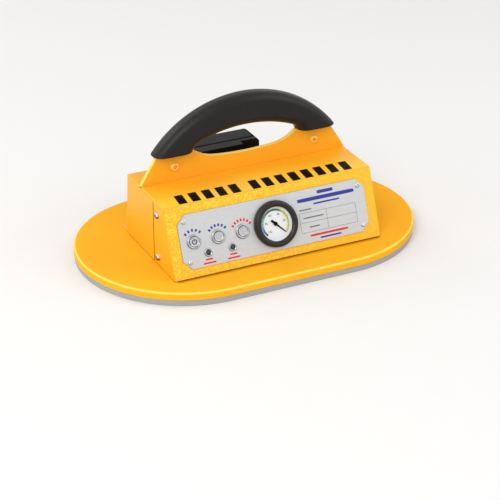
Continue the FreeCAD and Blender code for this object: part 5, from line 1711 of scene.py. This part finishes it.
@dataclass(frozen=True)
class PanelLamp:
    """A signal lamp: a turned bezel with a cupped face, and the dark lens in it."""

    name: str
    bezel: Turning = Turning(((3.02, -2.0, 0.0), (3.02, 2.3, 0.1), (3.82, 2.8, 0.3), (4.65, 2.8, 0.4),
                              (5.25, 1.7, 0.3), (5.25, 1.2, 0.0), (3.32, 1.2, 0.0), (3.32, -2.0, 0.0),
                              (3.02, -2.0, 0.0)), 56)
    lens: Turning = Turning(((3.0, -2.0, 0.0), (3.0, 2.8, 0.4), (2.25, 3.65, 0.5), (0.25, 4.0, 0.0)), 48)
    hole: float = 3.6 * MM

    @property
    def body(self) -> str:
        """Return the CAD node of the bezel."""
        return self.name + "_lamp_body"

    def build(self) -> None:
        """Build the bezel and the lens."""
        title = self.name + "_lamp"
        place = SLOPE.at(*SLOPE.find(self.body))
        bezel = self.bezel.make(title + "_bezel").set_at(place)
        bezel.hand_over(CHROME, "button_chrome", [self.body])
        self.lens.make(title + "_dome").set_at(place).hand_over(LAMP_LENS, "lamp_lens", [title + "_lens"])


@dataclass
class ControlPanel:
    """The eight-sided panel plate with its screws, push buttons, lamps and print.

    A row of the print is u, v, width and height of a mark, in millimetres. The grey rows are the ruled lines
    of the table, its uprights and the bars beside them.
    """

    corner_cut: float = 10.8 * MM
    sheet_edge: float = 0.45 * MM
    hole_gap: float = 0.1 * MM
    hole_corners: int = 64
    gauge_corners: int = 96
    screw: Screw = Screw(2.75 * MM, 1.8 * MM, 3.0 * MM, Drive.SOCKET)
    screw_inset: float = 8.5 * MM
    screw_turn: Span = (21.0, 35.0)
    power: PushButton = PushButton("power", 5, 42.0)
    vacuum: PushButton = PushButton("vacuum", 6, 48.0)
    release: PushButton = PushButton("release", 7, 54.0)
    lamps: tuple[PanelLamp, ...] = (PanelLamp("low_vacuum"), PanelLamp("low_battery"))
    ink: float = 0.05 * MM
    ink_round: float = 0.12
    sign_ring: Span = mm(2.2, 3.3)
    sign_gap: float = 1.2 * MM
    sign_stroke: float = 0.5 * MM
    sign_start: float = 0.5 * MM
    sign_top: float = 4.1 * MM
    sign_lift: float = 0.01 * MM
    sign_corners: int = 48
    lamp_lines: tuple[Span, ...] = (mm(-8.2, 9.5), mm(-12.6, 16.5))
    lamp_line_height: float = 2.0 * MM
    blue_rows: tuple[Row, ...] = ((72.5, 27.4, 22.0, 4.0), (72.5, 20.6, 78.0, 4.6), (72.5, 14.2, 36.0, 2.0),
                                  (71.5, -28.4, 29.0, 2.0))
    red_rows: tuple[Row, ...] = ((70.0, -23.8, 52.0, 2.6),)
    grey_rows: tuple[Row, ...] = ((72.0, 5.0, 78.0, 0.5), (72.0, -7.0, 78.0, 0.5), (72.0, -19.2, 78.0, 0.5),
                                  (33.2, -7.1, 0.5, 24.6), (70.2, -7.1, 0.5, 24.6), (110.8, -7.1, 0.5, 24.6),
                                  (42.5, 8.8, 17.0, 1.8), (52.0, -1.4, 28.0, 1.8), (51.7, -13.2, 14.0, 1.8))

    @property
    def buttons(self) -> tuple[PushButton, ...]:
        """Return the push buttons from left to right."""
        return self.power, self.vacuum, self.release

    def shaft(self, radius: float, corners: int, u: float = 0.0, v: float = 0.0) -> Bench:
        """Return a round cutter through the panel plate."""
        cutter = Bench("panel_cut").circle(radius + self.hole_gap, corners, -PANEL_SHEET, filled=True)
        return cutter.raised(3 * PANEL_SHEET).set_at(Matrix.Translation((u, v, 0.0)))

    def build_plate(self) -> None:
        """Build the plate: a rectangle with cut corners, thickened, edged and pierced."""
        u_low, u_high, v_low, v_high = SLOPE.span("panel_plate")
        middle = ((u_low + u_high) / 2, (v_low + v_high) / 2)
        bench = Bench("panel_sheet").slab(u_high - u_low, v_high - v_low, middle)
        bench.all().bevel(self.corner_cut, 1, corners=True).raised(PANEL_SHEET)
        bench.rounded(self.sheet_edge, lambda place, along: place.z > PANEL_SHEET - TOUCH)
        cutters = [self.shaft(SLOPE.radius("gauge_dial"), self.gauge_corners)]
        for fitting in (*self.buttons, *self.lamps):
            cutters.append(self.shaft(fitting.hole, self.hole_corners, *SLOPE.find(fitting.body)))
        bench.carve(cutters).set_at(SLOPE.at()).hand_over(PALE_PANEL, "panel_metal", ["panel_plate"])

    def build_screws(self) -> None:
        """Build the four corner screws, each turned its own way."""
        u_low, u_high, v_low, v_high = SLOPE.span("panel_plate")
        along_u, along_v = self.screw_turn
        places = []
        for u in (u_low + self.screw_inset, u_high - self.screw_inset):
            for v in (v_low + self.screw_inset, v_high - self.screw_inset):
                places.append(SLOPE.at(u, v, PANEL_SHEET, u * along_u + v * along_v))
        bench = self.screw.build("panel_corner_screws").copies(places)
        bench.hand_over(ZINC, "zinc_steel", ["panel_screws"])

    def build_power_sign(self) -> None:
        """Print the ring and stroke of the power sign on the first cap."""
        inner, outer = self.sign_ring
        ring = [(inner, 0.0), (outer, 0.0), (outer, self.ink), (inner, self.ink), (inner, 0.0)]
        sign = Bench("power_sign").lathe(ring, self.sign_corners)
        wide, half, reach = self.sign_gap, self.sign_stroke, self.sign_top
        sign.carve([Bench("sign_gap").block((-wide, self.sign_start, -reach), (wide, reach, reach))])
        stroke = Bench("sign_stroke").block((-half, self.sign_start, 0.0), (half, self.sign_top, self.ink))
        place = SLOPE.at(*SLOPE.find("power_button_cap"), self.power.dish + self.sign_lift)
        sign.join(stroke).set_at(place)
        sign.hand_over(INK_SLATE, "button_silver", body="power_button")

    def stamp(self, name: str, finish: Finish, blocks: Sequence[Mark]) -> None:
        """Print plain blocks on the panel.

        Args:
            name: the piece's name.
            finish: the ink.
            blocks: the blocks.
        """
        bench = Bench(name).slab(1.0, 1.0)
        bench.all().bevel(self.ink_round, corners=True).raised(self.ink)
        bench.copies([block.place() for block in blocks]).hand_over(finish, "panel_metal")

    def build_print(self) -> None:
        """Print plain marks where such a panel carries its words, ruled lines and a blank table."""
        blue = self.power.blocks() + self.vacuum.blocks() + marks(self.blue_rows)
        self.stamp("blue_print", INK_BLUE, blue)
        red = self.release.blocks() + marks(self.red_rows)
        for lamp in self.lamps:
            u, v = SLOPE.find(lamp.name + "_lamp_lens")
            red += [Mark(u, v + below, width, self.lamp_line_height) for below, width in self.lamp_lines]
        self.stamp("red_print", INK_RED, red)
        self.stamp("grey_print", INK_GREY, marks(self.grey_rows))

    def build(self) -> None:
        """Build the plate and all that sits on it."""
        self.build_plate()
        self.build_screws()
        for button in self.buttons:
            button.build()
        self.build_power_sign()
        for lamp in self.lamps:
            lamp.build()
        self.build_print()


DIAL_REST = math.radians(135.0)
DIAL_SWEEP = math.radians(270.0)


@dataclass(frozen=True)
class DialFace(Finish):
    """White enamel dial with a coloured band that runs from yellow through green to blue.

    Each tint has its share of the sweep, from the pointer's rest on.
    """

    band: Span = mm(15.9, 18.5)
    blur: float = 0.12 * MM
    tints: tuple[tuple[float, Colour], ...] = (
        (0.0, paint(244, 238, 92)), (0.36, paint(222, 228, 78)), (0.42, paint(36, 134, 96)),
        (0.62, paint(62, 160, 138)), (0.8, paint(150, 214, 216)), (0.94, paint(26, 128, 190)))
    mottle_tint: Colour = paint(240, 241, 244)
    mottle_scale: float = 300.0
    mottle_share: float = 0.2
    roughness: Span = (0.35, 0.5)

    def tinted(self, graph: Graph, share: Socket) -> Socket:
        """Colour the band.

        Args:
            graph: the material's nodes.
            share: the share of the sweep at each spot.

        Returns:
            The colour at each spot.
        """
        ramp = graph.add("ShaderNodeValToRGB")
        stops = ramp.color_ramp.elements
        while len(stops) < len(self.tints):
            stops.new(1.0)
        for stop, (position, tint) in zip(stops, self.tints):
            stop.position = position
            stop.color = tint
        graph.feed(ramp.inputs[0], share)
        return ramp.outputs["Color"]

    def wire(self) -> None:
        """Join the band, by angle and distance from the dial's middle, and a soft mottle to the shader."""
        graph = self.graph
        feeds = {"Vector": graph.coordinates("Object"), "Location": SLOPE.origin,
                 "Rotation": SLOPE.at().to_euler()}
        spot = graph.split(graph.made("ShaderNodeMapping", feeds, "Vector", vector_type="TEXTURE"))
        across, upward = spot["X"], spot["Y"]
        square = graph.math("ADD", graph.times(across, across), graph.times(upward, upward))
        reach = graph.math("SQRT", square)
        clock = graph.math("SUBTRACT", DIAL_REST, graph.math("ARCTAN2", across, upward))
        share = graph.math("DIVIDE", graph.math("FLOORED_MODULO", clock, 2 * math.pi), DIAL_SWEEP)
        inner, outer = self.band
        past_inner = graph.clamped(reach, inner - self.blur, inner + self.blur)
        short_of_outer = graph.clamped(reach, outer + self.blur, outer - self.blur)
        within = graph.math("LESS_THAN", share, 1.0)
        mask = graph.times(graph.times(past_inner, short_of_outer), within)
        mottle = graph.noise(graph.place(), self.mottle_scale, rough=0.5)
        enamel = graph.mix(graph.spread(mottle, 0.0, self.mottle_share), self.colour, self.mottle_tint)
        graph.give("Base Color", graph.mix(mask, enamel, self.tinted(graph, share)))
        graph.give("Roughness", graph.spread(mottle, *self.roughness))


@dataclass
class Gauge:
    """The vacuum gauge: bezel, inner ring, printed dial, pointer and glass.

    A bend of an outline is its radius, its height and its rounding.
    """

    corners: int = 128
    window: float = 21.0 * MM
    seat: float = 1.2 * MM
    shelf: float = 6.0 * MM
    bezel_bends: tuple[Corner, ...] = (
        mm(28.8, 1.2, 0.0), mm(28.8, 5.2, 0.8), mm(27.6, 8.0, 1.0), mm(25.4, 9.0, 0.9), mm(23.4, 8.6, 0.6),
        mm(21.5, 6.9, 0.3), mm(21.0, 6.7, 0.1), mm(21.0, 6.0, 0.0))
    dial_top: float = 1.5 * MM
    dial_edge: float = 0.2 * MM
    ring_top: float = 4.0 * MM
    ring_wall: float = 1.6 * MM
    ring_round: float = 0.3 * MM
    needle_lift: float = 2.0 * MM
    needle_thickness: float = 0.8 * MM
    needle_reach: float = 17.0 * MM
    needle_tail: float = 7.0 * MM
    needle_width: float = 2.2 * MM
    needle_edge: float = 0.22 * MM
    tip_share: float = 0.35
    tail_share: float = 1.4
    hub: Turning = Turning(((2.5, 0.0, 0.0), (2.5, 0.9, 0.2), (1.2, 1.1, 0.15), (1.0, 1.5, 0.15),
                            (0.2, 1.6, 0.0)), 40)
    glass_gap: float = 0.05 * MM
    glass_bends: tuple[Corner, ...] = (mm(20.9, 6.0, 0.2), mm(12.6, 6.5, 2.0), mm(0.5, 6.6, 0.0))
    glass_corners: int = 96
    ink: float = 0.03 * MM
    ticks: int = 50
    tick_group: int = 5
    tick_reach: float = 18.5 * MM
    tick_width: float = 0.4 * MM
    tick_round: float = 0.1 * MM
    long_tick: float = 2.6 * MM
    short_tick: float = 1.2 * MM
    scale_end: int = 100
    scale_step: int = 20
    figure_reach: float = 12.2 * MM
    figure_size: float = 3.9 * MM

    def build_dial(self) -> None:
        """Build the dial plate with its rim edged."""
        bench = Bench("gauge_dial_plate").circle(SLOPE.radius("gauge_dial"), self.corners, filled=True)
        bench.raised(self.dial_top)
        bench.rounded(self.dial_edge, lambda spot, along: spot.z > self.dial_top / 2)
        finish = DialFace("dial_face", paint(252, 252, 253))
        bench.set_at(SLOPE.at()).hand_over(finish, "gauge_white", ["gauge_dial"])

    def on_dial(self, share: float, reach: float) -> Matrix:
        """Return the placement at a share of the sweep and a distance from the middle, looking outwards."""
        turn = share * DIAL_SWEEP - DIAL_REST
        return SLOPE.at(-reach * math.sin(turn), reach * math.cos(turn), self.dial_top, turn)

    def build_ticks(self) -> None:
        """Print a long tick at the head of every group of the scale and short ones between."""
        bench = Bench("dial_ticks").slab(self.tick_width, 1.0).raised(self.ink)
        bench.rounded(self.tick_round, lambda spot, along: abs(along.z) > ALONG)
        places = []
        for number in range(self.ticks + 1):
            length = self.short_tick if number % self.tick_group else self.long_tick
            place = self.on_dial(number / self.ticks, self.tick_reach - length / 2)
            places.append(place @ Matrix.Diagonal((1.0, length, 1.0, 1.0)))
        bench.copies(places).hand_over(INK_BLACK, "gauge_white")

    def build_figure(self, number: int) -> Bench:
        """Print one number of the scale, upright on the dial.

        Args:
            number: the number.

        Returns:
            The bench with its mesh in place.
        """
        figure = Bench("dial_figures")
        bpy.ops.object.text_add()
        text = bpy.context.object.data
        text.body = str(number)
        text.size = self.figure_size
        text.extrude = self.ink / 2
        text.align_x = "CENTER"
        text.align_y = "CENTER"
        bpy.ops.object.convert(target="MESH")
        figure.piece = bpy.context.object
        upright = SLOPE.at(lift=self.ink / 2)
        upright.translation += self.on_dial(number / self.scale_end, self.figure_reach).translation
        upright.translation -= SLOPE.origin
        return figure.set_at(upright)

    def build_figures(self) -> None:
        """Print the numbers of the scale."""
        numbers = range(0, self.scale_end + 1, self.scale_step)
        whole, *others = [self.build_figure(number) for number in numbers]
        for figure in others:
            whole.join(figure)
        whole.piece.name = whole.name
        whole.hand_over(INK_BLACK, "gauge_white")

    def build_needle(self) -> None:
        """Build the pointer: a slim blade that tapers to its tip, a broad tail and a stepped hub."""
        middle = (0.0, (self.needle_reach - self.needle_tail) / 2)
        length = self.needle_reach + self.needle_tail
        bench = Bench("gauge_needle_blade").slab(self.needle_width, length, middle)
        bench.pick(Part.CORNERS, lambda spot, normal: spot.y > 0.0).resize((self.tip_share, 1.0, 1.0))
        bench.pick(Part.CORNERS, lambda spot, normal: spot.y < 0.0).resize((self.tail_share, 1.0, 1.0))
        bench.raised(self.needle_thickness)
        top = self.needle_thickness - TOUCH
        bench.rounded(self.needle_edge, lambda spot, along: spot.z > top)
        bench.join(self.hub.make("needle_hub"))
        bench.set_at(SLOPE.at(lift=self.needle_lift, turn=-DIAL_REST))
        bench.hand_over(POINTER_BLACK, "pointer_black", ["gauge_pointer"], body="gauge_needle")

    def build_bezel(self) -> None:
        """Build the black bezel."""
        inner = SLOPE.radius("gauge_lens")
        foot, ledge = (inner, self.seat, 0.0), (inner, self.shelf, 0.0)
        outline = [foot, *self.bezel_bends, ledge, foot]
        bench = Bench("gauge_bezel_ring").lathe(softened(outline), self.corners).set_at(SLOPE.at())
        bench.hand_over(BEZEL_BLACK, "gauge_black", ["gauge_bezel"])

    def build_ring(self) -> None:
        """Build the bright ring inside the bezel."""
        low, high = self.dial_top, self.ring_top
        outer = self.window + self.ring_wall
        outline = [(self.window, low, 0.0), (outer, low, 0.0), (outer, high, 0.0),
                   (self.window, high, self.ring_round), (self.window, low, 0.0)]
        bench = Bench("gauge_inner_ring").lathe(softened(outline), self.corners).set_at(SLOPE.at())
        bench.hand_over(POLISHED, "gauge_steel", ["gauge_ring"])

    def build_glass(self) -> None:
        """Build the slightly domed glass."""
        radius = SLOPE.radius("gauge_lens") - self.glass_gap
        outline = [(radius, self.ring_top, 0.0), (radius, self.shelf, 0.0), *self.glass_bends]
        bench = Bench("gauge_window").lathe(softened(outline), self.glass_corners).set_at(SLOPE.at())
        bench.hand_over(GAUGE_GLASS, "gauge_glass", ["gauge_lens"])

    def build(self) -> None:
        """Build the gauge from the panel outwards."""
        self.build_dial()
        self.build_ticks()
        self.build_figures()
        self.build_needle()
        self.build_bezel()
        self.build_ring()
        self.build_glass()


@dataclass
class BatteryPack:
    """The slide-on battery with the sunk panel in its back, its latch and the dock on the rear wall."""

    case_edge: float = 0.7 * MM
    case_steps: int = 3
    case_least: float = 2.0 * MM
    latch_edge: float = 0.5 * MM
    latch_least: float = 1.0 * MM
    dock_edge: float = 0.5 * MM
    dock_least: float = 2.0 * MM
    panel_inset: float = 8.0 * MM
    panel_depth: float = 0.7 * MM
    panel_edge: float = 0.25 * MM
    level: float = 0.999

    def build_case(self) -> None:
        """Build the battery's case with its edges rounded and its back sunk."""
        case = Bench("battery_moulding").merged("battery_case")
        case.rounded(self.case_edge, steps=self.case_steps, least=self.case_least)
        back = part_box("battery_case")[1].y - self.panel_edge / 4
        case.pick(Part.FACES, lambda place, normal: place.y > back and normal.y > self.level)
        case.inset(self.panel_inset).extrude((0.0, -self.panel_depth, 0.0)).tidy()
        case.rounded(self.panel_edge, lambda place, along: place.y > back - self.panel_depth)
        case.hand_over(BATTERY_BLACK, "battery_plastic", ["battery_case"], body="battery")

    def build(self) -> None:
        """Build the case, the latch and the dock."""
        self.build_case()
        latch = Bench("latch_moulding").merged("battery_latch")
        latch.rounded(self.latch_edge, least=self.latch_least)
        latch.hand_over(LATCH_GREY, "latch_plastic", ["battery_latch"], body="battery_latch")
        dock = Bench("dock_moulding").merged("battery_dock")
        dock.rounded(self.dock_edge, least=self.dock_least)
        dock.hand_over(BATTERY_BLACK, "battery_plastic", ["battery_dock"])


@dataclass
class InnerWorks:
    """The pieces inside the housing and behind it, which keep their own meshes."""

    coats: tuple[tuple[Finish, tuple[str, ...]], ...] = (
        (ZINC, ("foot_bolts", "button_nuts", "lamp_nuts", "manifold_screws", "saddle_screws",
                "board_standoffs", "gauge_ring_nut", "dock_screws")),
        (MOTOR_STEEL, ("gauge_case", "pump_motor", "pump_rotor", "release_valve")),
        (BRASS, ("gauge_stem", "check_valve", "battery_contacts")),
        (BRONZE, ("suction_filter", "pump_silencer")),
        (HOSE_BLACK, ("gauge_hose", "pump_hose")),
        (PUMP_ALLOY, ("manifold", "pump_body", "pump_cover", "pump_saddle")),
        (CARBON, ("pump_vanes",)),
        (BOARD_GREEN, ("control_board",)),
    )

    def build(self) -> None:
        """Give every CAD node that still shows its finish."""
        for finish, nodes in self.coats:
            for node in nodes:
                mesh = frame["nodes"][node].data
                mesh.materials.clear()
                mesh.materials.append(finish.material())
                LOG.info("%s: keeps its own mesh", node)


@dataclass(frozen=True)
class Lamp:
    """A soft square lamp: where it stands, the length of its side, its power in watts and its colour."""

    name: str
    place: Corner
    size: float
    power: float
    colour: Colour

    def build(self, aim: Corner) -> None:
        """Add the lamp, looking at a point.

        Args:
            aim: the point.
        """
        data = bpy.data.lights.new(self.name, "AREA")
        data.size = self.size
        data.energy = self.power
        data.color = self.colour[:3]
        lamp = bpy.data.objects.new(self.name, data)
        bpy.context.scene.collection.objects.link(lamp)
        lamp.matrix_world = facing(self.place, Vector(self.place) - Vector(aim))


@dataclass
class Studio:
    """The camera at the photograph's angle, soft light and a plain pale floor."""

    eye: Corner = (-0.8968, -1.8596, 1.0523)
    back: Corner = (-0.3878, -0.7991, 0.4594)
    lens: float = 132.08
    sensor: float = 36.0
    sight: float = 50.0
    floor_size: float = 12.0
    floor_drop: float = 0.02 * MM
    ambient: float = 0.62
    white: Colour = (1.0, 1.0, 1.0, 1.0)
    aim: Corner = (0.0, 0.0, 0.08)
    lamps: tuple[Lamp, ...] = (
        Lamp("key_lamp", (-1.6, -1.5, 2.1), 1.5, 33.0, paint(255, 252, 246)),
        Lamp("fill_lamp", (1.8, -1.0, 1.6), 1.6, 15.0, paint(248, 250, 255)),
        Lamp("rim_lamp", (-1.3, 1.7, 1.7), 1.2, 11.0, paint(255, 255, 255)),
        Lamp("side_lamp", (-2.2, 0.2, 0.9), 1.4, 7.0, paint(255, 252, 248)),
    )

    def build_camera(self) -> None:
        """Add the camera."""
        data = bpy.data.cameras.new("camera")
        data.lens = self.lens
        data.sensor_width = self.sensor
        data.sensor_fit = "HORIZONTAL"
        data.clip_end = self.sight
        camera = bpy.data.objects.new("camera", data)
        bpy.context.scene.collection.objects.link(camera)
        camera.matrix_world = facing(self.eye, self.back)
        bpy.context.scene.camera = camera

    def build_world(self) -> None:
        """Set an even pale sky that the camera, mirrors and glass see as white."""
        world = bpy.data.worlds.new("studio")
        bpy.context.scene.world = world
        world.use_nodes = True
        graph = Graph(world.node_tree)
        sky = world.node_tree.nodes["Background"].inputs
        rays = graph.add("ShaderNodeLightPath").outputs
        seen = graph.math("MAXIMUM", rays["Is Camera Ray"], rays["Is Transmission Ray"])
        seen = graph.math("MAXIMUM", seen, rays["Is Glossy Ray"])
        graph.feed(sky["Color"], self.white)
        graph.feed(sky["Strength"], graph.spread(seen, self.ambient, 1.0))

    def build_floor(self) -> None:
        """Add the floor."""
        bench = Bench("floor").slab(self.floor_size, self.floor_size)
        bench.set_at(Matrix.Translation((0.0, 0.0, CAD_BOX[0][2] - self.floor_drop)))
        bench.piece.data.materials.append(FLOOR_PALE.material())

    def build(self) -> None:
        """Add camera, lamps, sky and floor."""
        self.build_camera()
        for lamp in self.lamps:
            lamp.build(self.aim)
        self.build_world()
        self.build_floor()
        bpy.context.scene.view_settings.view_transform = "Standard"


def main() -> None:
    """Build every sub-assembly in order."""
    logging.basicConfig(level=logging.INFO, format="%(name)s: %(message)s")
    InnerWorks().build()
    SuctionPlate().build()
    Handle().build()
    Housing().build()
    ControlPanel().build()
    Gauge().build()
    BatteryPack().build()
    Studio().build()


if __name__ == "__main__":
    main()
